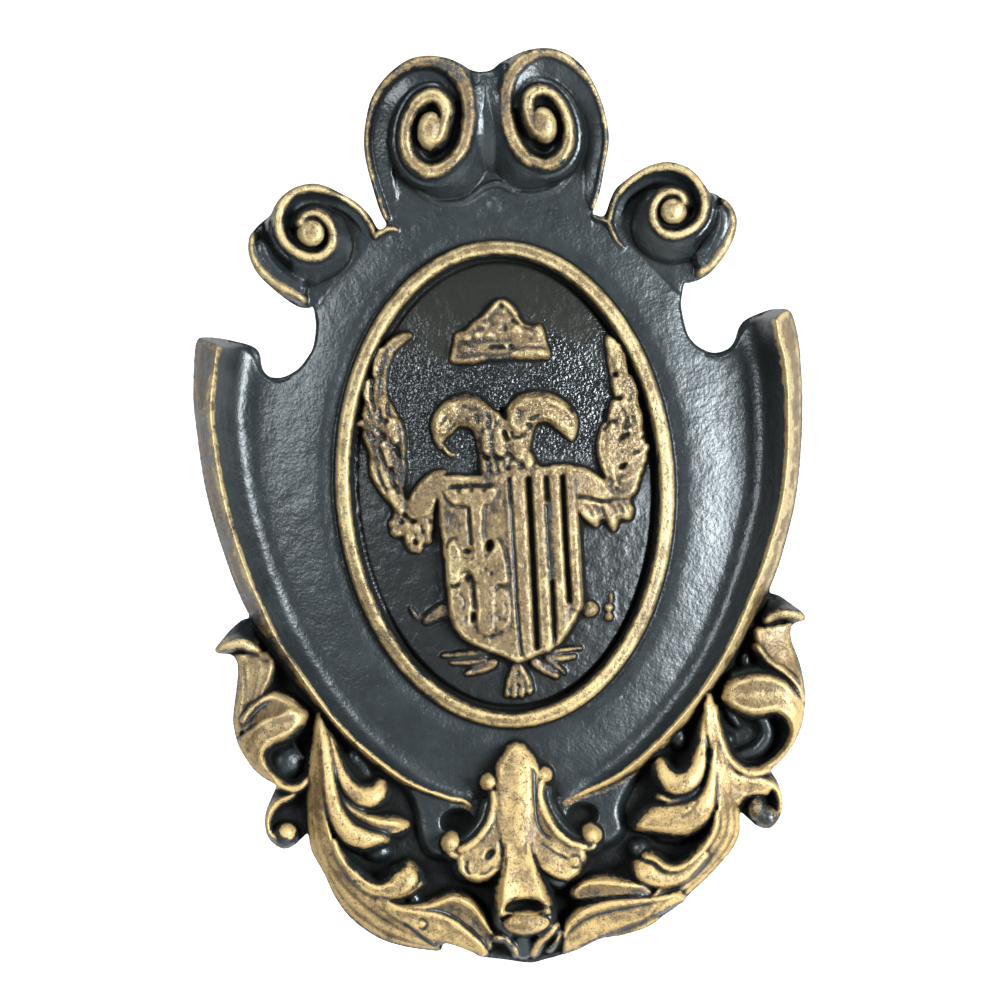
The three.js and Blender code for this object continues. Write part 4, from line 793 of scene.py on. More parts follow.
# Foot of the hollow inside each volute, then the volutes with their eyes: place, sizes and turn
left_hollow = [
    (-0.4, 160, 24.5), (-0.6, 150, 24.5), (-1, 140, 22), (-1.2, 128, 16), (-6, 117.4, 13.4),
    (-14, 114, 12.8), (-22, 114.6, 12.8), (-29, 119.6, 12.8), (-34.3, 127, 13), (-36.5, 135, 13.4),
    (-36.4, 143, 14),
]
right_hollow = [
    (1.6, 160, 24.5), (1.6, 150, 24.5), (1.8, 140, 22), (2.2, 128, 16), (7, 118, 13.4), (14, 116, 12.8),
    (21, 116.3, 12.8), (28, 120, 12.8), (33.8, 127, 13), (36.6, 135, 13.4), (36.5, 143, 14),
]
for coil, side, foot, eye in (
    (left_coil, -1, left_hollow, (-22.2, 142.2, 4.7, 6.8, 8)),
    (right_coil, 1, right_hollow, (22.8, 142, 4.5, 6.6, 12)),
):
    lip = [(x, z, height - 1) for x, z, _, height in coil[13:24]]
    blade(lip, foot, [(0, 0, 0.1), (0.1, 0.02, 0), (0.5, -0.08, 0), (0.85, -0.04, 0), (1, 0, 0)])
    inner = [(x, z, w + 3.4, height - 7.5) for x, z, w, height in coil[11:27]]
    strip(inner, PLAIN, 0)
    for edge in sides_of(coil[:14]):
        toward = np.array([side * 22, 145.0])
        way = toward - edge[:, :2]
        way /= np.hypot(*way.T)[:, None]
        reach = np.linspace(9, 13, len(edge))[:, None]
        along_coil = np.linspace(0, 1, len(edge))
        # Inwards from its lip the left channel climbs, apart from its upper end, and the right one falls.
        if side < 0:
            lip_drop = 4.6
            rise = np.interp(along_coil, [0, 0.25, 0.5, 0.75, 1], [1.2, 2.8, 3.6, 1, -1.6])
        else:
            lip_drop = 1.5
            rise = np.full(len(edge), -3.9)
        toe = np.column_stack([edge[:, :2] + way * reach, edge[:, 2] - lip_drop + rise])
        blade(edge[::2] - [0, 0, lip_drop], toe[::2], PLAIN, 0, sag=0.6)
    strip([(x, z, w * 1.1, height, 0.46 + 0.014 * k) for k, (x, z, w, height) in enumerate(coil)], BAND)
    x, z, across, up, turn = eye
    mound(x, z, across, up, 31.5, 3.5, 1, side * turn)
# Dip between the volutes
blade([(-9, 167.5, 25), (-7, 160, 26), (-4.6, 150, 26.6), (-5.4, 140, 26), (-8, 132, 22.5),
       (-12, 124, 17)],
      [(9, 167.5, 25), (7.4, 160, 26), (6, 150, 26.6), (6.6, 140, 26), (9, 132, 22.5), (13, 124, 17)],
      [(0, 0, 0), (0.2, 0.12, 0), (0.36, 0.17, 0), (0.56, 0.15, 0), (0.76, 0.18, 0),
       (0.9, 0.1, 0), (1, 0, 0)])
# Low dark edge under them, and two dark swellings
strip([(-34.6, 132, 0.4, 15.6), (-32, 124, 0.6, 15.8), (-27, 118, 0.7, 16), (-22, 114.4, 0.7, 16),
       (-15, 113.4, 0.7, 16), (-9, 114.6, 0.8, 16.2), (-3, 118.6, 1, 16.6), (1, 120, 1.2, 16.8),
       (5, 119.6, 1.1, 16.8), (9, 117, 0.9, 16.4), (14, 115.4, 0.8, 16), (20, 115.6, 0.8, 16),
       (26, 117.4, 0.8, 16), (31, 121.4, 0.7, 15.8), (34, 127, 0.6, 15.6), (35.4, 134, 0.4, 15.4)],
      BEAD, 0)
mound(1.5, 110.6, 3.4, 4.4, 14.6, 1)
mound(-3.4, 108, 2.6, 3, 14.8, 0.9)

# Side scrolls
# A smaller volute on each shoulder of the board, cast with it, and a rolled tail below it that
# ends at the dish. Only the lips and the eyes are gilt.

# Lips from the foot in to the eye, and the tails: (x, z, half width, height)
left_scroll = [
    (-46.6, 102, 0.5, 16), (-47.6, 105.5, 0.6, 16.4), (-49.5, 109, 0.7, 17), (-52.5, 113.3, 0.8, 18),
    (-57, 116.8, 1, 19.5), (-62.5, 119.8, 1.2, 21), (-68, 121.6, 1.4, 22.2), (-73, 121.9, 1.6, 23.2),
    (-78, 120.3, 1.7, 24), (-81.8, 116.8, 1.7, 24.8), (-83.8, 112.3, 1.6, 25.4), (-84.2, 107.3, 1.5, 26),
    (-83.2, 102.8, 1.4, 26.5), (-80.4, 98.8, 1.4, 27), (-76.4, 95.8, 1.4, 27.4), (-71.6, 94.3, 1.5, 27.8),
    (-67.2, 95.1, 1.5, 28.2), (-64, 97.9, 1.5, 28.6), (-62.7, 101.8, 1.5, 29), (-63.4, 106, 1.4, 29.4),
    (-66, 109.8, 1.3, 29.7), (-69.8, 111.8, 1.1, 30), (-73.4, 110.8, 1, 30.2), (-75.9, 107.9, 0.9, 30.4),
]
right_scroll = [
    (46.8, 102.5, 0.5, 16), (47.7, 106, 0.6, 16.4), (49.3, 110.6, 0.7, 17), (52.2, 114.8, 0.8, 18),
    (57, 118.8, 1, 19.5), (63, 122.1, 1.2, 21), (69, 123.2, 1.5, 22.4), (74.4, 122.5, 1.6, 23.4),
    (78.8, 120.2, 1.7, 24.2), (82.2, 116.7, 1.7, 25), (84.3, 112.3, 1.6, 25.6), (84.9, 107, 1.5, 26),
    (83.5, 102.2, 1.4, 26.5), (80.7, 98.7, 1.4, 27), (76.9, 96.4, 1.4, 27.4), (72.5, 95.6, 1.5, 27.8),
    (68.2, 96.6, 1.5, 28.2), (65.1, 99.7, 1.5, 28.6), (63.9, 104, 1.5, 29), (65.1, 108.6, 1.4, 29.4),
    (68.3, 111.8, 1.2, 29.7), (72, 112.8, 1.1, 30), (75.3, 111.6, 1, 30.2), (77, 108.4, 0.9, 30.4),
]
left_tail = [
    (-96, 104.5, 0.9, 17), (-96.3, 100, 1.1, 18), (-95.5, 95, 1.2, 19), (-92.5, 90, 1.4, 19.6),
    (-88.5, 86, 1.5, 20), (-84.5, 83, 1.5, 20), (-80.5, 80.6, 1.2, 19.5), (-76.5, 77.4, 0.9, 18.5),
]
right_tail = [
    (93.5, 108.2, 0.8, 16.5), (95.8, 104.2, 1, 17.4), (96.4, 99.5, 1.3, 18.4), (95, 94.5, 1.6, 19.2),
    (92.5, 90, 1.7, 19.8), (89.5, 85.7, 1.5, 20), (86, 82.3, 1.3, 19.6), (82, 79.8, 1, 18.8),
]
outer_run = 13
for coil, tail, side, eye in (
    (left_scroll, left_tail, -1, (-71.2, 104.2, 5.1)),
    (right_scroll, right_tail, 1, (72, 105.4, 4.9)),
):
    scroll_edge = fill(np.vstack([
        [(x, z) for x, z, _, _ in through(coil, 4)[:4 * outer_run]],
        [(x, z) for x, z, _, _ in through(tail, 4)], [(side * 74, 72), (side * 58, 90)],
    ]))
    relief[scroll_edge] = np.maximum(relief, 13.5)[scroll_edge]
    gilt[scroll_edge] *= 0.2
    # Two dark rolls beside the tail, then its gilt edge
    spine = through(tail, 1)[:, :2]
    strip([(x + side * -4.5, z + 1.5, 4.2, 19.5) for x, z in spine[1:-1]],
          [(0, 0.35, 0), (0.3, 0.04, 0), (0.6, 0.02, 0), (1, 0.3, 0)])
    strip([(x + side * -11, z + 5, 3.2, 17.5) for x, z in spine[2:-1]],
          [(0, 0.4, 0), (0.4, 0.02, 0), (1, 0.4, 0)])
    strip([(x - side * 0.7, z + 0.4, w * 1.5, height) for x, z, w, height in tail], BEAD, 0.85)
    # Hollow inside the scroll, then its gilt lip and eye
    drum = [(side * 60.2, 109, 24), (side * 57.7, 102, 22.5), (side * 57.3, 97, 20.5),
            (side * 59.5, 91.5, 18), (side * 65, 87.3, 17), (side * 72, 85.5, 17),
            (side * 79, 87.5, 17.5)]
    lip = [(x, z, height - 0.8) for x, z, _, height in coil[19:12:-1]]
    blade(lip, drum, [(0, 0, 0.1), (0.1, 0.03, 0), (0.5, -0.05, 0), (1, 0, 0)])
    inner = [(x, z, w + 2.6, height - 6) for x, z, w, height in coil[10:21]]
    strip(inner, PLAIN, 0)
    for edge in sides_of(coil[:12]):
        way = np.array([side * 70.0, 106.0]) - edge[:, :2]
        way /= np.hypot(*way.T)[:, None]
        reach = np.linspace(3.5, 5.5, len(edge))[:, None]
        toe = np.column_stack([edge[:, :2] + way * reach, np.linspace(14, 20, len(edge))])
        blade(edge[::2] - [0, 0, 0.8], toe[::2], PLAIN, 0, sag=2.4)
    strip([(x, z, w * 0.92, height) for x, z, w, height in coil], BAND, 0.8)
    mound(eye[0], eye[1], eye[2], eye[2], 27.5, 3.4, 1)
# Small gilt edges between the scrolls and the crest
strip([(-46.5, 101.5, 0.7, 17), (-43.5, 103.6, 0.9, 17.5), (-40, 104.6, 0.8, 17),
       (-37, 103.6, 0.4, 15.5)], BEAD)
strip([(40.3, 106.2, 0.5, 16.5), (42.2, 104.2, 0.6, 17.2), (44.7, 103.4, 0.6, 17.4), (46.6, 102, 0.6, 17),
       (48.2, 98, 0.6, 16.2), (49.6, 95, 0.5, 15.5), (52, 92, 0.4, 15)], BEAD, 0.6)

# Left leaves
# Acanthus leaves that flank the point, cast in the same plaster over a dark ground. Each lobe is
# a cupped or faceted blade, and its face and edges are rubbed with a warmer gold.
CUPPED = [(0, 0.25, 0.4), (0.06, 0.02, 1), (0.15, 0.03, 1), (0.28, 0.12, 0.6), (0.6, 0.2, 0.5),
          (0.85, 0.18, 0.55), (1, 0.3, 0.3)]
FACETED = [(0, 0.3, 0.5), (0.08, 0.16, 0.85), (0.16, 0.12, 0.95), (0.2, 0.15, 0.55), (0.3, 0.05, 1.1),
           (0.42, 0.04, 1), (0.5, 0.1, 0.6), (0.6, 0.04, 0.95), (0.75, 0.05, 0.9), (0.88, 0.08, 0.8),
           (0.95, 0.02, 1.1), (1, 0.2, 0.6)]
SHELVED = [(0, 0.25, 0.5), (0.1, 0.02, 1), (0.25, 0.05, 0.95), (0.5, 0.15, 0.6), (0.85, 0.2, 0.45),
           (1, 0.4, 0.1)]
TIP = [(0, 0.1, 0.25), (0.2, 0.05, 0.15), (0.7, 0.1, 0.2), (1, 0, 0.6)]
# Dark ground and swellings between the leaves
strip([(-58, -146, 6, 12.5), (-58, -139, 6, 13), (-63, -112, 6, 12), (-66, -103, 4.5, 12)], ROUNDED, 0)
mound(-66, -105, 4.6, 4.6, 8, 5)
mound(-62, -113, 5, 5, 6, 1)
mound(-58, -143, 6, 4.2, 9, 5)
mound(-93, -105.2, 8.3, 8.3, 7.5, 7.5)
strip([(-90, -96.5, 0.5, 12), (-88.5, -100, 0.8, 13), (-85.3, -104.5, 0.5, 14)], BEAD, 0)
# Upper tip and the lobe below it
blade([(-104.5, -46.5, 11), (-108, -48.5, 11), (-112, -52, 12), (-116, -56, 14), (-118.3, -59, 16)],
      [(-101, -57.5, 17), (-104, -56.5, 19), (-108, -54.8, 20.5), (-113, -56, 21), (-117.8, -59, 18)], TIP)
blade([(-111.5, -61.5, 17), (-110.3, -66, 17), (-110.8, -74, 17), (-112, -82, 17), (-113, -89, 16),
       (-112, -95, 15)],
      [(-97, -61, 19), (-94.8, -65, 20), (-96, -70, 21), (-98.5, -75, 22), (-102, -80, 22.5),
       (-106, -85, 22.5)],
      [(0, 0.3, 0.4), (0.12, 0.04, 1), (0.3, 0, 1.1), (0.5, 0.07, 0.85), (0.65, 0.03, 1.05),
       (0.8, 0.09, 0.85), (0.94, 0.12, 0.7), (1, 0.3, 0.3)])
strip([(-118, -59.3, 1, 19), (-114, -57.6, 1.5, 22), (-108, -56.8, 1.8, 23.5), (-104.5, -58.5, 1.6, 22.5),
       (-101, -60.3, 1, 20)], BEAD)
score([(-103, -61.5), (-99, -64.5), (-96.5, -64)], 0.6, 1)
score([(-108, -66), (-107, -74), (-108, -82), (-110, -89)], 0.5, 0.7, 0.5)
# Large curled lobe and the fold over it
blade([(-108.5, -89, 20), (-104.5, -84, 21), (-100.5, -79.8, 22), (-96, -78.2, 23), (-92, -79.7, 23.5),
       (-88, -82.7, 24), (-85.3, -85.7, 24.5)],
      [(-108.5, -91, 22), (-104, -88.5, 24), (-100, -87, 25.5), (-95.5, -86, 27), (-91, -84.8, 28),
       (-87.5, -85, 28), (-85, -86.3, 26)],
      [(0, 0.2, 0.9), (0.1, 0.05, 0.9), (0.25, 0.14, 0.5), (0.7, 0.1, 0.5), (1, 0, 0.8)])
strip([(-109, -88, 0.5, 22.4), (-105, -83, 0.7, 23), (-100, -79.5, 0.6, 23.2), (-96, -78.2, 0.4, 23.2)],
      BEAD)
blade([(-84.8, -86.3, 25), (-87, -84.8, 27.5), (-90.5, -84.3, 28.5), (-95.5, -85.8, 28.5),
       (-100, -87.2, 27.5), (-104, -89.5, 26), (-108.5, -93, 22), (-111.5, -97, 18), (-109.5, -101.5, 17),
       (-105.5, -107.5, 16), (-101, -111.5, 15), (-97.5, -113.3, 15)],
      [(-84.8, -87.5, 26), (-86, -89.5, 27.5), (-89.5, -93, 28.5), (-93, -94.8, 28.5), (-97, -96.3, 28),
       (-100.5, -99, 27), (-101.7, -102, 26), (-101, -105.5, 24.5), (-99.5, -108, 23), (-97, -111, 21.5),
       (-94.5, -113, 20.5), (-92.5, -114.3, 20)],
      [(0, 0.16, 0.5), (0.1, 0.03, 0.95), (0.3, 0.06, 0.8), (0.55, 0.02, 1), (0.8, 0.07, 0.75),
       (0.93, 0, 1), (1, 0.2, 0.4)])
strip([(-98, -112, 0.7, 20.5), (-94.5, -114.5, 0.9, 21.2), (-90.5, -115.7, 1, 21.5),
       (-86.8, -114.8, 0.9, 21.2), (-84.8, -112.5, 0.6, 20.5)], BEAD)
# Small curl under the large lobe
blade([(-97.5, -114.3, 12), (-99.5, -119, 11), (-101.9, -124.5, 11), (-102.5, -130, 11),
       (-101.5, -134.5, 12)],
      [(-90, -116.5, 16), (-93.5, -119, 17), (-98.5, -122.5, 16.5), (-100.9, -127.5, 15.5),
       (-100.5, -131.5, 15.5)],
      [(0, 0.15, 0.3), (0.2, 0.05, 0.5), (0.8, 0.08, 0.5), (1, 0, 0.8)])
mound(-94.5, -127, 6.5, 6.5, 5.5, 1.5)
mound(-94.8, -134.6, 5, 5, 12, 7)
mound(-94, -133.4, 3.4, 3.4, 16, 3.4, 0.85)
strip([(-89.5, -117, 0.7, 18), (-92, -119, 0.8, 18.2), (-96, -120.4, 0.8, 18), (-99.3, -123.3, 0.8, 17.6),
       (-101.3, -128, 0.8, 17.2), (-101, -132, 0.7, 17), (-98.8, -134.6, 0.6, 17),
       (-95.5, -134, 0.5, 18)], BEAD)
# Long leaf that sweeps down to the foot
blade([(-78.9, -86.6, 17), (-80, -91, 20), (-81, -98, 20), (-83, -107, 20), (-84.6, -116, 19),
       (-85, -125, 18), (-85, -133, 17), (-84.5, -141, 16), (-80.5, -150, 16), (-76.3, -160, 15),
       (-70, -169, 14), (-60, -177, 14), (-50, -181, 13), (-40, -182.8, 13), (-36, -183.2, 13)],
      [(-78.4, -86.6, 17), (-77.6, -91, 22), (-78, -98, 24), (-78.5, -107, 25), (-78.7, -116, 26),
       (-78, -125, 26.5), (-76.5, -133, 26.5), (-75, -139, 26), (-72, -146.5, 25), (-66.5, -152.5, 25),
       (-60, -157.5, 24.5), (-53, -163, 24), (-47.5, -169, 23), (-42, -175, 22), (-37, -181, 20)],
      FACETED)
# Lobes that lie over the foot of the long leaf
blade([(-58, -160, 24), (-52, -163.8, 24.5), (-46, -165.8, 24.5), (-40, -166.4, 24.5), (-34, -168, 24.5),
       (-29, -171, 24), (-24, -175.5, 23), (-19, -181, 21), (-17.5, -184.5, 19)],
      [(-60, -163, 22), (-54, -168, 22), (-48.5, -172.3, 22), (-44, -176, 21.5), (-39, -179.5, 20.5),
       (-33.5, -180.3, 20), (-28.5, -181.8, 18.5), (-23, -184, 17), (-19.5, -186, 16)],
      [(0, 0.2, 0.5), (0.07, 0.03, 1), (0.3, 0.06, 0.85), (0.5, 0, 1), (0.8, 0.03, 0.9), (1, 0.2, 0.4)])
blade([(-49, -164.6, 22), (-41, -164.8, 23.5), (-35, -163.2, 24.5), (-30, -161.3, 25), (-25, -162.2, 25),
       (-20.5, -165.5, 24), (-17.2, -171, 22), (-14, -177, 19)],
      [(-47, -165.5, 22), (-41, -166.2, 23), (-35.5, -167.3, 22.5), (-30, -170, 22),
       (-25.5, -173.5, 21.5), (-21, -178, 20), (-18, -182, 18.5), (-15.5, -183.5, 17)], CUPPED)
score([(-44, -170.6), (-41.6, -169.9), (-40, -172), (-41.6, -174), (-43.8, -173.2)], 0.6, 1.4)
score([(-50, -171), (-47, -173), (-42, -177.5), (-38, -180.5), (-36, -183)], 0.9, 2.4)
# Inner lobe, and the stem that bends over it
strip([(-72.8, -104, 0.8, 21), (-71.8, -112, 1.2, 22), (-70, -118.5, 1.3, 23), (-66.5, -124, 1.2, 24),
       (-62, -126.8, 0.7, 24)], BEAD, 0.7)
blade([(-72, -112, 22), (-71, -119, 24), (-68, -123.5, 25.5), (-63, -127, 26), (-57, -129.2, 25.5),
       (-51, -130.2, 24), (-47.6, -131.4, 21), (-46, -132.6, 18)],
      [(-73, -114, 20), (-72, -122, 22), (-69.5, -128, 23.5), (-64, -132, 24), (-57.5, -135, 23.5),
       (-51, -136, 22), (-47.6, -135, 19.5), (-46, -133.6, 17)], SHELVED)
blade([(-77.2, -90, 19), (-75.6, -96, 23), (-74, -104, 25), (-73.6, -112, 27), (-72.3, -119, 28.5),
       (-70, -126, 29.5), (-66, -130.8, 30), (-61, -133.5, 30), (-57, -135, 29), (-54.5, -136.8, 27)],
      [(-77.7, -90, 19), (-78, -96, 24), (-78.2, -104, 26), (-78.3, -112, 27), (-78, -119, 28),
       (-76.5, -127, 29), (-73.5, -134, 29.5), (-70, -138.3, 29.5), (-63.5, -140.4, 28.8),
       (-55.5, -137.8, 27)], ROUNDED)
strip([(-76, -92.4, 0.4, 17), (-74.3, -97.6, 0.8, 20.5), (-72.4, -106, 1.5, 23), (-69.8, -113, 2.3, 25),
       (-66, -118.5, 3.2, 26.5), (-61.5, -120.6, 3.7, 27), (-57.3, -119.3, 3.5, 26.5),
       (-55.6, -115.5, 1.8, 24)], ROUNDED)
# Blunt lobe beside the foot, and the gilt edges of the folds
strip([(-71, -147.5, 1, 25), (-66, -153.5, 1.6, 25), (-60, -157.3, 2, 25), (-53.5, -157.5, 3.2, 26),
       (-47.5, -153.5, 5.2, 27), (-45.8, -149, 3.5, 24)], ROUNDED)
strip([(-75, -136.5, 0.7, 26.2), (-73.7, -141.5, 0.7, 26.2), (-71, -146.5, 0.7, 26), (-67, -151, 0.7, 26),
       (-62, -155, 0.7, 26), (-58, -156.6, 0.7, 26), (-54, -155.3, 0.7, 26.4)],
      BEAD)
strip([(-56, -160.3, 1.2, 24), (-51, -159.7, 1.2, 24), (-46, -158.5, 1.2, 23.5), (-41.5, -155.5, 1, 22)],
      BEAD, 0.8)
mound(-44.5, -162, 2.6, 2.6, 15.5, 2.5, 0.3)

# Right leaves
# The same leaves on the other side, modelled by hand a little differently before the mould was
# made, and gilt in the same way.
EDGED = [(0, 0.35, 0.15), (0.08, 0.06, 0.9), (0.2, 0, 1), (0.5, 0.02, 1), (0.8, 0.06, 0.9),
         (0.93, 0.15, 0.6), (1, 0.35, 0.3)]
# Dark ground and swellings between the leaves
mound(64, -104, 4.2, 5.2, 8, 6)
mound(46, -147, 4.4, 4.4, 12, 5)
mound(83, -105.5, 3.2, 3.2, 10, 3)
mound(92, -74, 2.6, 3.6, 11, 3)
strip([(53, -142, 2, 14), (62, -144, 2, 14)], ROUNDED, 0)
strip([(86, -79.7, 0.5, 20), (95, -78.4, 0.7, 20.5), (104, -79.8, 0.5, 20)], BEAD, 0)
strip([(95.5, -95.5, 1.6, 17), (98.5, -99.5, 2.2, 15.5), (98.8, -105, 2.6, 14.5), (95, -109.8, 2.6, 14),
       (89, -111.8, 2.2, 13.5), (85, -111.5, 1, 13)], ROUNDED, 0)
strip([(82.8, -92.5, 0.6, 14), (85.5, -96, 1.4, 15), (88.3, -100.5, 0.8, 13)], ROUNDED, 0)
# Upper tip and the lobe below it
blade([(103, -47.5, 11), (107, -49.7, 11.5), (112, -53.6, 13), (115.5, -57, 15)],
      [(100, -57.5, 17), (104, -55.6, 19.5), (110, -54.9, 21), (115, -57.5, 18)], TIP)
blade([(95, -62.5, 20), (96.2, -67.5, 21), (99, -72.5, 22), (103.5, -77, 23), (108.5, -81.5, 23),
       (112.5, -87, 21.5)],
      [(112.5, -60.3, 18), (110.5, -65, 17.5), (112, -71.5, 17.5), (113.8, -78.5, 17.5), (114.8, -86, 17),
       (114.7, -92, 16)], EDGED)
strip([(115.6, -58.6, 1, 19), (112.5, -57.3, 1.7, 22.5), (108.5, -56.3, 1.6, 23), (104, -57, 1.4, 22.5),
       (100.5, -59, 1, 21)], BEAD)
strip([(96.5, -68.5, 0.6, 22.5), (101, -75, 0.8, 23.4), (107, -79.8, 0.8, 24), (111.5, -85, 0.8, 23),
       (114, -91.5, 0.6, 20)], BEAD)
# Large curled lobe
blade([(83.3, -87.8, 25), (85, -83.5, 27), (89, -80.9, 28.5), (95, -80, 29), (101, -80.7, 29),
       (106, -83, 28.5), (110, -87, 27), (113.5, -93, 22), (113.5, -99, 18.5), (111, -105.5, 17),
       (107, -111.3, 16), (102, -116, 16), (98, -118.6, 16.5)],
      [(83.5, -88.8, 26), (86.5, -92, 28), (91, -94.8, 29), (96, -95.4, 29), (101.5, -94.8, 28.5),
       (106, -96.8, 28), (108.7, -101, 26.5), (108.6, -106, 25), (106.3, -110.5, 23.5),
       (102.5, -114.3, 22), (98, -117, 21.5), (94.5, -117.9, 21), (91.5, -117.6, 21)],
      [(0, 0.16, 0.5), (0.1, 0.03, 0.95), (0.3, 0.06, 0.8), (0.5, 0.02, 1), (0.75, 0.07, 0.75),
       (0.92, 0, 1), (1, 0.2, 0.4)])
# Small curl under the large lobe
blade([(99.5, -119, 13), (102.3, -123.5, 12), (103.8, -129.5, 11.5), (103.6, -134, 12)],
      [(96, -121.8, 17), (100.3, -125, 16.5), (102.3, -129.5, 16), (102, -133, 15.5)],
      [(0, 0.15, 0.3), (0.3, 0.05, 0.4), (1, 0, 0.5)])
blade([(83, -116, 24), (86, -119, 23), (90, -120.6, 21.5), (95, -122.3, 20), (99.5, -125.3, 18.5)],
      [(83.5, -130, 22), (85.5, -131.5, 20), (88, -129, 19.5), (91.5, -127.6, 18.5), (97, -127.6, 17.5)],
      [(0, 0.1, 0.8), (0.15, 0.03, 0.95), (0.5, 0.08, 0.75), (0.9, 0.05, 0.9), (1, 0.2, 0.4)])
mound(93.5, -133, 3.6, 5, 12, 5, 0.4)
mound(97.5, -137, 4.7, 4.7, 11, 6, 0.3)
strip([(88, -119.5, 0.7, 21), (93, -121, 0.8, 20), (97.5, -122.7, 0.8, 19), (101.3, -126, 0.8, 18),
       (103, -130.5, 0.8, 17), (102.6, -135, 0.6, 16)], BEAD)
strip([(98.6, -118, 0.7, 21), (93.5, -119.2, 1, 22), (88, -117.6, 1, 22.6), (83.3, -113, 1, 23),
       (80.5, -106, 0.9, 23), (78.8, -98, 0.8, 22.5), (78.3, -92, 0.6, 22)], BEAD)
# Long leaf that sweeps down to the foot
blade([(76.9, -87, 20), (77.7, -91, 22), (78.4, -97, 22.5), (79.5, -104, 23), (82.3, -112, 23),
       (84, -120, 22.5), (84.6, -128, 21), (86.3, -136, 18), (85.8, -143, 17), (81.5, -150.8, 16),
       (74.5, -158, 15), (67, -164.6, 15), (60, -170, 14.5), (50, -176.6, 14)],
      [(76.1, -87, 20), (75.2, -91, 23), (74.9, -97, 24), (75.6, -105, 25), (77.5, -113, 26),
       (78, -121, 26.5), (77.8, -129, 26.5), (77, -134.5, 26), (74.8, -141.5, 25.5), (70.3, -148, 25),
       (64.5, -153, 25), (58, -155.6, 25), (52, -163, 24.5), (44, -170, 23.5)], FACETED)
strip([(52, -175, 2.4, 18), (44, -177.6, 2.6, 18), (36, -180, 1.4, 16), (33, -181, 0.8, 15)], ROUNDED)
# Inner lobe, and the stem that bends over it
strip([(71, -123.5, 0.9, 24), (66.5, -127, 1.2, 24.4), (60.5, -128.3, 1.2, 24.4),
       (54.5, -126.5, 0.8, 24)],
      BEAD, 0.75)
blade([(77.5, -106, 25), (76, -113, 26.5), (74.3, -120, 28), (70.5, -126.3, 29), (65, -128.8, 29.5),
       (58.5, -129.2, 29), (52.5, -130, 28), (48, -133, 26.5), (45, -137.2, 24.5)],
      [(78.3, -107, 25), (77.8, -115, 26), (77.8, -123, 27), (76.6, -130.5, 28), (73.5, -136.5, 28.5),
       (69, -140.4, 28.5), (62.5, -142, 28), (55.5, -140.8, 27), (48.5, -138.6, 25.5)], ROUNDED)
score([(70, -128), (66, -133), (62, -135)], 0.6, 1)
strip([(75.2, -94, 0.7, 21), (73.9, -101, 1.5, 23), (72.6, -108, 2, 24), (70.6, -115.5, 3.2, 26),
       (66.5, -120.7, 4.2, 27.5), (61.3, -121.6, 4.3, 28), (57.3, -118, 3, 27), (55.6, -112.8, 1.6, 24)],
      ROUNDED)
# Blunt lobe beside the foot, and the gilt edges of the folds
strip([(72, -149.5, 1.5, 25), (66, -155, 2.2, 25), (60, -158.6, 2.6, 25), (53.5, -158.8, 3.6, 26),
       (48, -156, 4.6, 26.5), (45, -152.5, 3.4, 24)], ROUNDED)
strip([(77.2, -133, 0.6, 26.4), (76, -140, 0.8, 26.4), (71.5, -147, 0.8, 26), (65.5, -152.5, 0.8, 26),
       (60, -155, 0.8, 26), (55.5, -154.3, 0.8, 26.4), (51.5, -151, 0.7, 26), (47.5, -149.6, 0.5, 25)],
      BEAD)
# Lobes that lie over the foot of the long leaf
blade([(49.5, -163.5, 22), (45.5, -160.8, 24), (39, -159.4, 25), (31, -158, 25.5), (24.5, -158.2, 25),
       (20.3, -160.3, 24), (18.6, -162.6, 22.5)],
      [(49, -165.6, 22), (45, -165.3, 23.5), (39, -164.6, 24.3), (31.5, -165, 24.5), (25, -165.3, 24),
       (21, -165, 23), (19, -164, 22)], CUPPED)
blade([(60, -165, 24), (51, -166, 25), (42, -165.8, 26), (33, -166, 26.5), (25.5, -167.5, 26),
       (20, -170, 25), (15.5, -174.5, 23), (14, -179, 21)],
      [(62, -167.5, 22.5), (54, -171.5, 22.5), (46, -176, 22), (38, -179, 21), (31, -180.5, 20),
       (24.5, -183, 18.5), (18.5, -185.5, 17), (14, -186.5, 16)],
      [(0, 0.25, 0.4), (0.06, 0.03, 1), (0.2, 0.03, 1), (0.33, 0.12, 0.4), (0.45, 0.03, 1),
       (0.8, 0.04, 0.95), (1, 0.25, 0.3)])
score([(60, -165), (52, -170), (48.5, -173.8), (43.5, -177)], 0.45, 0.8)

# Palmette
# A plain stem that opens like a bell over the leaves, with a curled lobe and a barred volute on
# each side and a rolled foot. It is the same casting, rubbed with gold over dark paint.
bell = [
    (-1.5, -102.3), (-5, -105), (-7.5, -110), (-9.2, -115), (-10.2, -121), (-10.9, -127), (-13.8, -134.6),
    (-18, -139.6), (-23, -143), (-26.2, -145.4), (-26.8, -149), (-24.6, -153), (-20.5, -155.4),
    (-15, -155), (-10.5, -152.6), (-8.9, -151.4), (-9.3, -156), (-10.4, -163), (-11.4, -169.4),
    (-9, -170), (-6, -165.8), (-1.5, -164), (3.5, -165), (6.5, -169), (8.4, -169), (7.4, -162),
    (5.5, -155), (4.2, -150.6), (7.5, -153.4), (12, -156.2), (17, -157), (21, -154), (23.5, -149.8),
    (24.2, -146), (19, -143.6), (14.5, -140.2), (11, -136), (8.6, -130.5), (7.6, -124), (7.4, -118),
    (7.6, -113), (5.5, -109), (2.5, -104.5),
]
slab(bell, 25 + 0.05 * (-103 - Z), 0.86)
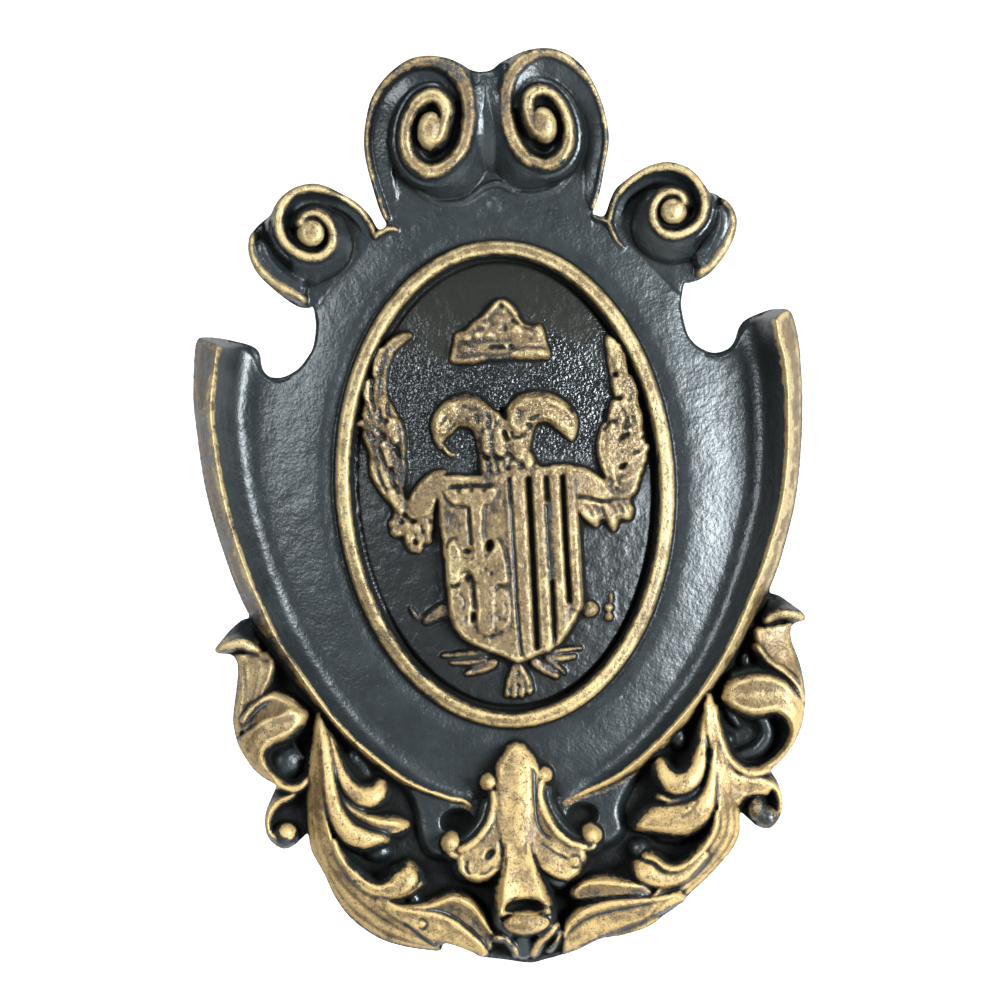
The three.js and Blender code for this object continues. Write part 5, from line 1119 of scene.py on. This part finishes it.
# Curled lobe on each side, with its rolled end
for left, right in (
    ([(-9, -134, 26.5), (-14, -139.6, 27.4), (-19.6, -143.6, 27.4), (-25.4, -146, 26)],
     [(-8, -148, 27), (-11.4, -151.6, 27.6), (-16, -154.4, 27), (-21.6, -154.8, 25.6)]),
    ([(4.4, -137, 27), (9.6, -142, 28), (15, -145, 28), (19, -146, 27.4), (23.4, -146.6, 26)],
     [(3.6, -147, 27.4), (6.4, -151.4, 27.8), (11, -154.8, 27.6), (16, -156.4, 26.6),
      (20.6, -154, 25.4)]),
):
    blade(left, right,
          [(0, 0.12, 0.7), (0.1, 0.03, 0.95), (0.3, 0.08, 0.8), (0.55, 0.02, 0.9), (0.8, 0, 1.1),
           (0.93, 0.05, 1), (1, 0.25, 0.4)])
strip([(-24.4, -147, 1.3, 27), (-24.6, -150.6, 1.6, 27.4), (-22.6, -153.4, 1.4, 26.6)], ROUNDED, 1.15)
strip([(-21, -147, 1, 27.6), (-21.8, -150.4, 1, 28), (-20.6, -153, 0.9, 27.4)], ROUNDED, 1)
mound(19.8, -149.6, 3, 3, 26, 2.8, 0.95)
# Stem, then its channelled foot and the edge that closes it
blade([(-3.5, -103.5, 24.5), (-4.5, -106, 25.4), (-7, -109, 26), (-8.6, -113, 26.8), (-9.6, -123, 27.6),
       (-9.6, -132, 28), (-8.4, -140, 28.4), (-5.4, -148, 28.4)],
      [(1.4, -103.5, 24.5), (2.6, -105.5, 25.4), (4.8, -108.5, 26), (5.4, -112, 26.8), (5, -122, 27.6),
       (4.6, -132, 28), (3.4, -140, 28.4), (0.6, -148, 28.4)],
      [(0, 0.05, 0.85), (0.1, 0.01, 0.95), (0.3, -0.04, 0.95), (0.6, -0.06, 1.1), (0.85, -0.02, 1.05),
       (1, 0.08, 0.8)])
blade([(-5.4, -134, 26), (-6.6, -141, 29), (-8, -148, 31), (-9.2, -155, 32.6), (-10.4, -163, 34),
       (-11, -169, 33)],
      [(1.6, -134, 26), (1.8, -141, 29), (3.2, -148, 31), (5, -155, 32.6), (7.2, -163, 34),
       (8, -169, 33)],
      [(0, 0.1, 0.7), (0.07, 0, 1.1), (0.2, 0.04, 0.95), (0.5, 0.1, 0.82), (0.8, 0.04, 1), (0.93, 0, 1.1),
       (1, 0.1, 0.7)])
strip([(-10.4, -168.6, 0.9, 33), (-7.6, -165.4, 1, 33.6), (-3, -163.6, 1.1, 34), (2, -164, 1.1, 34),
       (5.6, -166, 1, 33.6), (7.6, -169, 0.9, 33)], BEAD, 1.15)
# Lines cut into the stem and the lobes
for stations, half, depth, wipe in (
    ([(-8.8, -113), (-9, -122), (-8.8, -131)], 0.6, 0.5, 0.3),
    ([(5.6, -112), (5.3, -121), (5.4, -130), (7, -136.6), (11, -141)], 0.9, 1.2, 0.5),
    ([(-11.6, -143), (-13.6, -145.4), (-15.6, -147.6)], 1.7, 2.6, 0.8),
    ([(-9.6, -139.6), (-9, -143), (-8.6, -147)], 0.6, 1, 0.6),
    ([(-7, -146), (-7.6, -150), (-8.6, -155)], 0.6, 1.2, 0.8),
    ([(3.4, -145.4), (4.6, -150), (5.4, -154)], 0.6, 1.2, 0.8),
    ([(6.6, -141.4), (11.6, -145.6), (17.4, -149)], 0.6, 1, 0.7),
    ([(2, -138), (0.6, -142), (1, -146)], 0.5, 0.6, 0.5),
    ([(18, -147.8), (21, -147.6), (22, -150), (20.6, -152.4), (18.2, -151.8)], 0.5, 1, 0.8),
    ([(-22.8, -147), (-23.4, -150.4), (-21.8, -153.6)], 0.6, 1.2, 0.8),
    ([(-3, -105), (-3.2, -109)], 0.4, 0.4, 0.4),
    ([(-12.6, -150), (-15.6, -152.6), (-18.6, -152.8)], 0.5, 0.9, 0.7),
):
    score(stations, half, depth, wipe)
# A bar along each side of the stem, with a ball at both ends
for bar, ball, tip, clear in (
    ([(-10.9, -120.5, 0.9, 26), (-10.9, -126, 1.2, 27), (-13, -132.6, 1.4, 28), (-17, -138, 1.4, 28.4),
      (-21.4, -141.6, 1.4, 28), (-25.6, -143.4, 1.3, 27)], (-12.2, -117.2, 3), (-28.6, -140.6, 3.5), -1),
    ([(8.2, -117.5, 1, 26), (7.4, -122, 1.1, 26.6), (7.9, -127, 1.2, 27), (9.9, -132.4, 1.3, 28),
      (13, -137.6, 1.4, 28.4), (17, -141.6, 1.4, 28.2), (21.2, -143.8, 1.4, 27.6),
      (24.6, -144.4, 1.2, 27)], (9.2, -115.4, 2.7), (27, -140.4, 3.5), 1),
):
    strip([(x + clear * 2.9, z + 1.8, 0.9, height - 6) for x, z, _, height in bar[1:]], BEAD, 0)
    strip(bar, ROUNDED, 1.1)
    for x, z, size in (ball, tip):
        mound(x, z, size, size, 21.5, 4.8, 0.95)
# Small pieces between the bars and the lobes
strip([(-29.6, -143.6, 1.6, 25), (-27, -145.2, 1.4, 25.6), (-24, -145, 1, 26)], ROUNDED, 0.75)
strip([(28.6, -143, 1.6, 24), (26.6, -145, 1.3, 25), (23.6, -145, 1, 26)], ROUNDED, 0.6)
strip([(7.6, -154.4, 1.6, 22), (11.6, -158, 1.8, 21), (15.6, -158.6, 1.4, 20)], ROUNDED, 0)
# Rolled foot, and the leaf tips round it
score([(-9, -169.4), (-6.2, -166.8), (-1, -165.8), (4.4, -167), (7.2, -169.6)], 3.4, 10, 1)
mound(-0.6, -173.4, 9.8, 5.2, 24, 1.5, 0)
mound(-0.6, -173.2, 9.2, 4.6, 26, 5, 0.72)
strip([(-11.8, -168, 0.8, 26), (-11, -174, 0.9, 25), (-6.6, -178.4, 0.9, 23.6)], BEAD, 0)
strip([(9, -168, 0.9, 26), (8.4, -174, 0.9, 25), (4, -178.6, 0.9, 23.6)], BEAD, 0)
strip([(-2.4, -178, 4, 22), (-2.4, -183, 3.6, 19), (-2, -187.5, 3, 16)], ROUNDED, 0)
strip([(11, -175.4, 1, 25), (7.4, -178.6, 1.5, 24.4), (3.6, -182.4, 1.6, 22), (1.3, -186.5, 1.3, 18)],
      ROUNDED)
strip([(12.4, -177.6, 0.6, 23), (10.8, -181.6, 0.6, 22), (7.6, -184.6, 0.6, 20)], BEAD, 0.6)
strip([(-13.4, -178.6, 0.7, 24), (-9.4, -179.4, 0.8, 23), (-6.4, -182.6, 0.8, 21),
       (-4.6, -186.5, 0.7, 18)], BEAD, 0.7)

# Skin of the casting
# The plaster as it left its mould: every wall slopes so that it would draw, every arris is a
# little soft, and the back is flat, with an arched hollow for the nail that it hangs on. Over it
# lies dark slate paint with gold rubbed on whatever stands proud.
steepest, reach_steps, gold_kept = 5.0, 6, 0.86
# Walls that slope enough to leave the mould
for _ in range(reach_steps):
    for dr, dc in ((0, 1), (1, 0), (0, -1), (-1, 0), (1, 1), (-1, 1), (1, -1), (-1, -1)):
        beside = np.roll(relief, (dr, dc), (0, 1)) - steepest * pitch * math.hypot(dr, dc)
        lower = beside > relief
        relief[lower] = beside[lower]
        gilt[lower] = (np.roll(gilt, (dr, dc), (0, 1)) * gold_kept)[lower]

# Grain of the cast, leather of the field, and gold worn thin in patches
rng = np.random.default_rng(11)
fine_reach, broad_reach, patch_reach, edge_drop = 0.7, 3.2, 1.6, 1.4
fine, broad = (soften(rng.normal(size=X.shape), reach) for reach in (fine_reach, broad_reach))
fine, broad = fine / fine.std(), broad / broad.std()
bare_field = field_share * (relief < field_at(X, Z) + 0.8)
worked = field_share * (1 - bare_field)
relief = soften(relief, 0.4) + 0.06 * broad + (0.025 + 0.03 * bare_field + 0.08 * worked) * fine
inside = soften(plaque.astype(float), 0.8)
relief -= edge_drop * (1 - grade(inside, 0.5, 0.97))
thinnest = 3
relief = np.maximum(relief, thinnest)
patchy = soften(rng.normal(size=X.shape), patch_reach)
patchy /= patchy.std()
thin = (0.16 * grade(patchy, 0.2, 1.8) + 0.12 * grade(broad, 0.3, 1.6)) * (1 - 0.6 * field_share)
gilt = soften(gilt, 0.35) - thin + 0.08 * grade(-patchy, 0.2, 1.6)
hollow = np.maximum(soften(relief, 2.2), 0.6 * soften(relief, 5) + 0.4 * relief) - relief
crease = soften(relief, 0.8) - relief

# Squares of the front, without any that meet at a corner only
cells = plaque[:-1, :-1] & plaque[1:, :-1] & plaque[:-1, 1:] & plaque[1:, 1:]
pinched = True
while np.any(pinched):
    a, b, c, d = cells[:-1, :-1], cells[:-1, 1:], cells[1:, :-1], cells[1:, 1:]
    pinched = (a & d & ~b & ~c) | (b & c & ~a & ~d)
    a[pinched] = False
    b[pinched] = False
rows, columns = np.nonzero(cells)
corners = [(rows + dr) * X.shape[1] + columns + dc for dr, dc in ((0, 0), (0, 1), (1, 1), (1, 0))]
used, quads = np.unique(np.stack(corners, 1), return_inverse=True)
quads = quads.reshape(-1, 4)
skin = np.column_stack([X.ravel()[used], -relief.ravel()[used], Z.ravel()[used]])

# Border of the front, moved onto the plaque's outline
starts = np.concatenate([quads[:, k] for k in range(4)])
ends = np.concatenate([quads[:, (k + 1) % 4] for k in range(4)])
there = starts * len(skin) + ends
back_again = ends * len(skin) + starts
lone = ~np.isin(there, back_again)
onward = dict(zip(starts[lone].tolist(), ends[lone].tolist()))
border = [min(onward)]
while onward[border[-1]] != border[0]:
    border.append(onward[border[-1]])

fine_steps = 40
fine_outline = through(left_outline[::-1] + right_outline, fine_steps, closed=True)
nearby = kdtree.KDTree(len(fine_outline))
for k, (x, z) in enumerate(fine_outline):
    nearby.insert((x, z, 0), k)
nearby.balance()
for k in border:
    x, z, _ = nearby.find((skin[k, 0], skin[k, 2], 0))[0]
    skin[k, 0], skin[k, 2] = x, z

# Back and the hollow for the nail
hook_width, hook_foot, hook_spring, hook_depth, hook_steps = 11.0, 62.0, 78.5, 7.0, 24
arch = [(hook_width / 2, hook_foot), (-hook_width / 2, hook_foot)]
for k in range(hook_steps + 1):
    turn = math.pi * (1 - k / hook_steps)
    arch.append((hook_width / 2 * math.cos(turn), hook_spring + hook_width / 2 * math.sin(turn)))

points = [Vector(p) * unit for p in skin]
faces = [list(map(int, quad)) for quad in quads]
back_ring = len(points)
points += [Vector((skin[k, 0], 0, skin[k, 2])) * unit for k in border]
count = len(border)
for k in range(count):
    n = (k + 1) % count
    faces.append([border[n], border[k], back_ring + k, back_ring + n])
hook_ring = len(points)
points += [Vector((x, 0, z)) * unit for x, z in arch]
points += [Vector((x, -hook_depth, z)) * unit for x, z in arch]
size = len(arch)
for k in range(size):
    n = (k + 1) % size
    faces.append([hook_ring + k, hook_ring + n, hook_ring + size + n, hook_ring + size + k])
faces.append([hook_ring + size + k for k in range(size)])
loops = [points[back_ring:back_ring + count], points[hook_ring:hook_ring + size]]
flat_loops = [[Vector((p.x, p.z, 0)) for p in loop] for loop in loops]
places = list(range(back_ring, back_ring + count)) + list(range(hook_ring, hook_ring + size))
for triangle in geometry.tessellate_polygon(flat_loops):
    faces.append([places[k] for k in triangle])

# One closed skin, thinned where it is flat
cast = bpy.data.meshes.new("carved coat of arms")
cast.from_pydata(points, [], faces)
shell = bmesh.new()
shell.from_mesh(cast)
bmesh.ops.recalc_face_normals(shell, faces=shell.faces)
shell.to_mesh(cast)
shell.free()
rough_cast = bpy.data.objects.new("rough cast", cast)
bpy.context.collection.objects.link(rough_cast)
most_faces = 190000
thinning = rough_cast.modifiers.new("thinning", "DECIMATE")
thinning.ratio = most_faces / (2 * len(quads) + 4 * count)
thinning.use_collapse_triangulate = True
graph = bpy.context.evaluated_depsgraph_get()
skin_mesh = bpy.data.meshes.new_from_object(rough_cast.evaluated_get(graph))
bpy.data.objects.remove(rough_cast)
coat_of_arms = bpy.data.objects.new("carved_coat_of_arms", skin_mesh)
bpy.context.collection.objects.link(coat_of_arms)

# Back pressed flat again, with sharp edges, and a smooth front
back_depth, hook_reach = 1.5, 18
spots = np.empty(len(skin_mesh.vertices) * 3)
skin_mesh.vertices.foreach_get("co", spots)
spots = spots.reshape(-1, 3) / unit
spots[spots[:, 1] > -back_depth, 1] = 0
skin_mesh.vertices.foreach_set("co", (spots * unit).ravel())
pairs = np.empty(len(skin_mesh.edges) * 2, int)
skin_mesh.edges.foreach_get("vertices", pairs)
depth = -spots[:, 1]
in_hook = (np.abs(spots[:, 0]) < hook_width) & (np.abs(spots[:, 2] - hook_spring) < hook_reach)
in_hook &= depth < hook_depth + 0.1
behind = (depth < 0.01) | in_hook
skin_mesh.attributes.new("sharp_edge", "BOOLEAN", "EDGE")
skin_mesh.attributes["sharp_edge"].data.foreach_set("value", behind[pairs.reshape(-1, 2)].all(axis=1))
skin_mesh.polygons.foreach_set("use_smooth", np.ones(len(skin_mesh.polygons), bool))


def read(layer):
    """The layer's value at each point of the skin."""
    column = (spots[:, 0] - grid_x[0]) / pitch
    row = (spots[:, 2] - grid_z[0]) / pitch
    c, r = column.astype(int), row.astype(int)
    u, v = column - c, row - r
    lower = layer[r, c] * (1 - u) + layer[r, c + 1] * u
    upper = layer[r + 1, c] * (1 - u) + layer[r + 1, c + 1] * u
    return lower * (1 - v) + upper * v


# What the paint needs to know of the carving
on_front = grade(depth - read(relief), -2.5, -0.8)
for name, layer in (("gilt", gilt), ("hollow", hollow), ("crease", crease), ("field", field_share)):
    values = read(layer) * (on_front if name in ("gilt", "field") else depth > back_depth)
    skin_mesh.attributes.new(name, "FLOAT", "POINT").data.foreach_set("value", values)


class Value:
    """A number or colour inside a shader, which adds its own Math nodes."""

    def __init__(self, paint, socket):
        self.paint, self.socket = paint, socket

    def math(self, operation, *others, clamp=False):
        settings = {"operation": operation, "use_clamp": clamp}
        return self.paint.node("ShaderNodeMath", settings, dict(enumerate(others)))

    def __add__(self, other):
        return self.math("ADD", self, other)

    __radd__ = __add__

    def __sub__(self, other):
        return self.math("SUBTRACT", self, other)

    def __rsub__(self, other):
        return self.math("SUBTRACT", other, self)

    def __mul__(self, other):
        return self.math("MULTIPLY", self, other)

    __rmul__ = __mul__

    def step(self, low, high):
        """Smooth step from 0 at low to 1 at high."""
        settings = {"interpolation_type": "SMOOTHSTEP"}
        inputs = {"Value": self, "From Min": low, "From Max": high}
        return self.paint.node("ShaderNodeMapRange", settings, inputs)

    def mix(self, first, second):
        """First where this is 0, second where it is 1."""
        settings = {"data_type": "RGBA", "clamp_factor": True}
        return self.paint.node("ShaderNodeMix", settings, {0: self, 6: first, 7: second}, 2)


class Paint:
    """A material and the nodes of its finish."""

    def __init__(self, name):
        self.material = bpy.data.materials.new(name)
        self.material.use_nodes = True
        self.tree = self.material.node_tree
        self.tree.nodes.clear()

    def node(self, kind, settings, inputs, output=0):
        """A node with its settings and the numbers, colours or values of its sockets."""
        made = self.tree.nodes.new(kind)
        for name, value in settings.items():
            setattr(made, name, value)
        for name, value in inputs.items():
            if isinstance(value, Value):
                self.tree.links.new(value.socket, made.inputs[name])
            else:
                made.inputs[name].default_value = value
        return Value(self, made.outputs[output]) if made.outputs else None

    def noise(self, scale, detail, roughness=0.6):
        """Noise over the casting's own coordinates."""
        place = self.node("ShaderNodeTexCoord", {}, {}, 3)
        inputs = {"Vector": place, "Scale": scale, "Detail": detail, "Roughness": roughness}
        return self.node("ShaderNodeTexNoise", {}, inputs)

    def attribute(self, name):
        """What the carving left on the skin under a name."""
        return self.node("ShaderNodeAttribute", {"attribute_name": name}, {}, 2)


slate_deep = (0.003, 0.004, 0.004, 1)
slate = (0.006, 0.009, 0.01, 1)
slate_pale = (0.016, 0.022, 0.024, 1)
gold_pale = (0.55, 0.4, 0.185, 1)
gold_warm = (0.6, 0.39, 0.15, 1)
gold = (0.19, 0.115, 0.043, 1)
gold_dark = (0.03, 0.018, 0.008, 1)
haze_brown = (0.03, 0.026, 0.015, 1)
shade_and_dull_black = (0.006, 0.006, 0.005, 1)
finish = Paint("slate and rubbed gold")
gilding, hollows, creases, field = (
    finish.attribute(name) for name in ("gilt", "hollow", "crease", "field")
)
cloud = finish.noise(70, 6)
mottle = finish.noise(330, 6, 0.7)
grain = finish.noise(1500, 5, 0.7)
dimple = finish.noise(240, 2, 0.5)
speck = finish.noise(800, 1, 0.5)
place = finish.node("ShaderNodeTexCoord", {}, {}, 3)
height = finish.node("ShaderNodeSeparateXYZ", {}, {"Vector": place}, 2)
sunk = hollows.step(0.4, 2.6)
proud = (hollows * -1).step(0.2, 2.5)
cut_in = creases.step(0.04, 0.3)
ridge = (creases * -1).step(0.03, 0.3)
worn = (mottle - 0.5) * 1.3 + (grain - 0.5) * 0.9 - sunk * 0.2 - cut_in * 0.35
mask = (gilding + worn).step(0.24, 0.52)
# Slate ground with a brown haze high on the field, turned deeper in the hollows as painted shade
ground = (cloud * 0.6 + mottle * 0.4 + grain * 0.4).step(0.6, 0.95).mix(slate, slate_pale)
haze = (height + (cloud - 0.5) * 0.06).step(0.045, 0.07)
ground = field.mix(ground, (haze * 0.8).mix(slate_deep, haze_brown))
# Painted shade: deep slate in the hollows
ground = (sunk * 0.8).mix(ground, slate_deep)
# Gold, pale where it was rubbed, warmer on the leaves and dark where it wore off, with painted highlight
# on ridges and proud parts and painted shade in hollows and cuts
leafy = height.step(-0.06, -0.12)
rub_and_painted_light = proud * 0.2 + ridge * 0.35 + cloud * 1.3 + mottle * 1.1 + grain * 0.45 + leafy * 0.2 - field * 0.2
rub_and_painted_light = rub_and_painted_light + (gilding - 1) * 0.9 - sunk * 0.4 - cut_in * 0.5
leaf = rub_and_painted_light.step(1.3, 1.9).mix(gold, leafy.mix(gold_pale, gold_warm))
leaf = rub_and_painted_light.step(1.24, 0.85).mix(leaf, gold_dark)
leaf = (grain * 0.7 + mottle * 0.3).step(0.47, 0.38).mix(leaf, gold_dark)
# Leathery lower part of the field, and the fine grain over all
leather = (height + (mottle - 0.5) * 0.03).step(-0.01, 0.015) * (haze * -1 + 1) * field
relief_grain = dimple * 1.4 + speck * (0.7 + leather * 2.4 + mask * 0.8)
grain_height = 0.0002
bumped = finish.node(
    "ShaderNodeBump", {}, {"Strength": 1, "Distance": grain_height, "Height": relief_grain}
)
# Satin paint, and a dull black mixed in: painted shade in the creases and hollows, and over the field a
# duller, darker finish, most under the brown haze
gloss = finish.node(
    "ShaderNodeBsdfPrincipled", {},
    {
        "Base Color": mask.mix(ground, leaf), "Metallic": mask * 0.3, "Specular IOR Level": 0.8,
        "Roughness": 0.33 + mask * 0.12 + cloud * 0.1 - leather * 0.12, "Normal": bumped,
    },
)
shade_and_dull_coat = finish.node(
    "ShaderNodeBsdfPrincipled", {},
    {"Base Color": shade_and_dull_black, "Roughness": 0.8, "Specular IOR Level": 0.15},
)
dull = (haze * 0.5 + 0.2) * field * (leather * -0.5 + 1) * (mask * -1 + 1)
# Painted shade in the creases and hollows, plus the field's dull finish
shade_and_dull_share = (creases + hollows * 0.35).step(0.3, 1.4) + dull
surface = finish.node("ShaderNodeMixShader", {}, {0: shade_and_dull_share, 1: gloss, 2: shade_and_dull_coat})
finish.node("ShaderNodeOutputMaterial", {}, {"Surface": surface})
skin_mesh.materials.clear()
skin_mesh.materials.append(finish.material)

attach(coat_of_arms, "root")
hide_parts("coat_of_arms_casting")

# Studio
# A pale paper floor that curves up into a backdrop, three soft lamps of which the one on the
# right is the strongest, and a distant camera turned three degrees, as the photograph is.
sweep_front, sweep_back, sweep_curve = -7.0, 5.0, 1.6
sweep_half, sweep_floor, sweep_top = 8.0, -1.2, 6.0
sweep_steps = 12
sweep = [(sweep_front, sweep_floor), (0.0, sweep_floor)]
for k in range(sweep_steps + 1):
    turn = math.pi / 2 * k / sweep_steps
    sweep.append((
        sweep_back - sweep_curve * (1 - math.sin(turn)),
        sweep_floor + sweep_curve * (1 - math.cos(turn)),
    ))
sweep.append((sweep_back, sweep_top))
studio = bpy.data.meshes.new("studio sweep")
studio.from_pydata(
    [(x, y, z) for y, z in sweep for x in (-sweep_half, sweep_half)], [],
    [(2 * k, 2 * k + 1, 2 * k + 3, 2 * k + 2) for k in range(len(sweep) - 1)],
)
studio.polygons.foreach_set("use_smooth", [True] * len(studio.polygons))
backdrop = bpy.data.objects.new("studio_sweep", studio)
bpy.context.collection.objects.link(backdrop)
paper = Paint("white paper")
place = paper.node("ShaderNodeTexCoord", {}, {}, 3)
along = paper.node("ShaderNodeSeparateXYZ", {}, {"Vector": place}, 1)
# The paper glows as well, a painted glow that is faint on the floor in front and full on the backdrop
# behind
paper_glow = along.step(0.2, 1.6).mix((0.06, 0.06, 0.06, 1), (1, 1, 1, 1))
paper_surface = paper.node(
    "ShaderNodeBsdfPrincipled", {},
    {"Base Color": (0.75, 0.75, 0.75, 1), "Roughness": 0.9, "Emission Color": paper_glow,
     "Emission Strength": 0.9},
)
paper.node("ShaderNodeOutputMaterial", {}, {"Surface": paper_surface})
studio.materials.append(paper.material)

world = bpy.data.worlds.new("studio air")
world.use_nodes = True
world.node_tree.nodes["Background"].inputs["Color"].default_value = (0.92, 0.96, 1, 1)
world.node_tree.nodes["Background"].inputs["Strength"].default_value = 0.07
bpy.context.scene.world = world

for name, place, power, width, tint in (
    ("key", (1.3, -1.4, -0.12), 76, 0.7, (0.84, 0.94, 1)),
    ("left", (-1.1, -1.4, 0.45), 20, 0.6, (0.84, 0.94, 1)),
    ("top", (0.2, -0.7, 1.3), 10, 0.6, (0.84, 0.94, 1)),
):
    lamp = bpy.data.lights.new(name, "AREA")
    lamp.energy, lamp.size, lamp.color = power, width, tint
    light = bpy.data.objects.new(name, lamp)
    light.location = place
    light.rotation_euler = (-Vector(place)).to_track_quat("-Z", "Y").to_euler()
    bpy.context.collection.objects.link(light)

photo_width, photo_scale, photo_middle, photo_turn = 1000, 0.4, (-2.29, -5.49), 3.0
view_distance = 2.5
eye = bpy.data.cameras.new("studio camera")
eye.sensor_width = 36
eye.lens = eye.sensor_width * view_distance / (photo_width * photo_scale * unit)
camera = bpy.data.objects.new("studio camera", eye)
camera.location = (photo_middle[0] * unit, -view_distance, photo_middle[1] * unit)
camera.matrix_world = (
    Matrix.Translation(camera.location)
    @ Matrix.Rotation(math.pi / 2, 4, "X") @ Matrix.Rotation(math.radians(-photo_turn), 4, "Z")
)
bpy.context.collection.objects.link(camera)
bpy.context.scene.camera = camera
bpy.context.scene.view_settings.view_transform = "Standard"
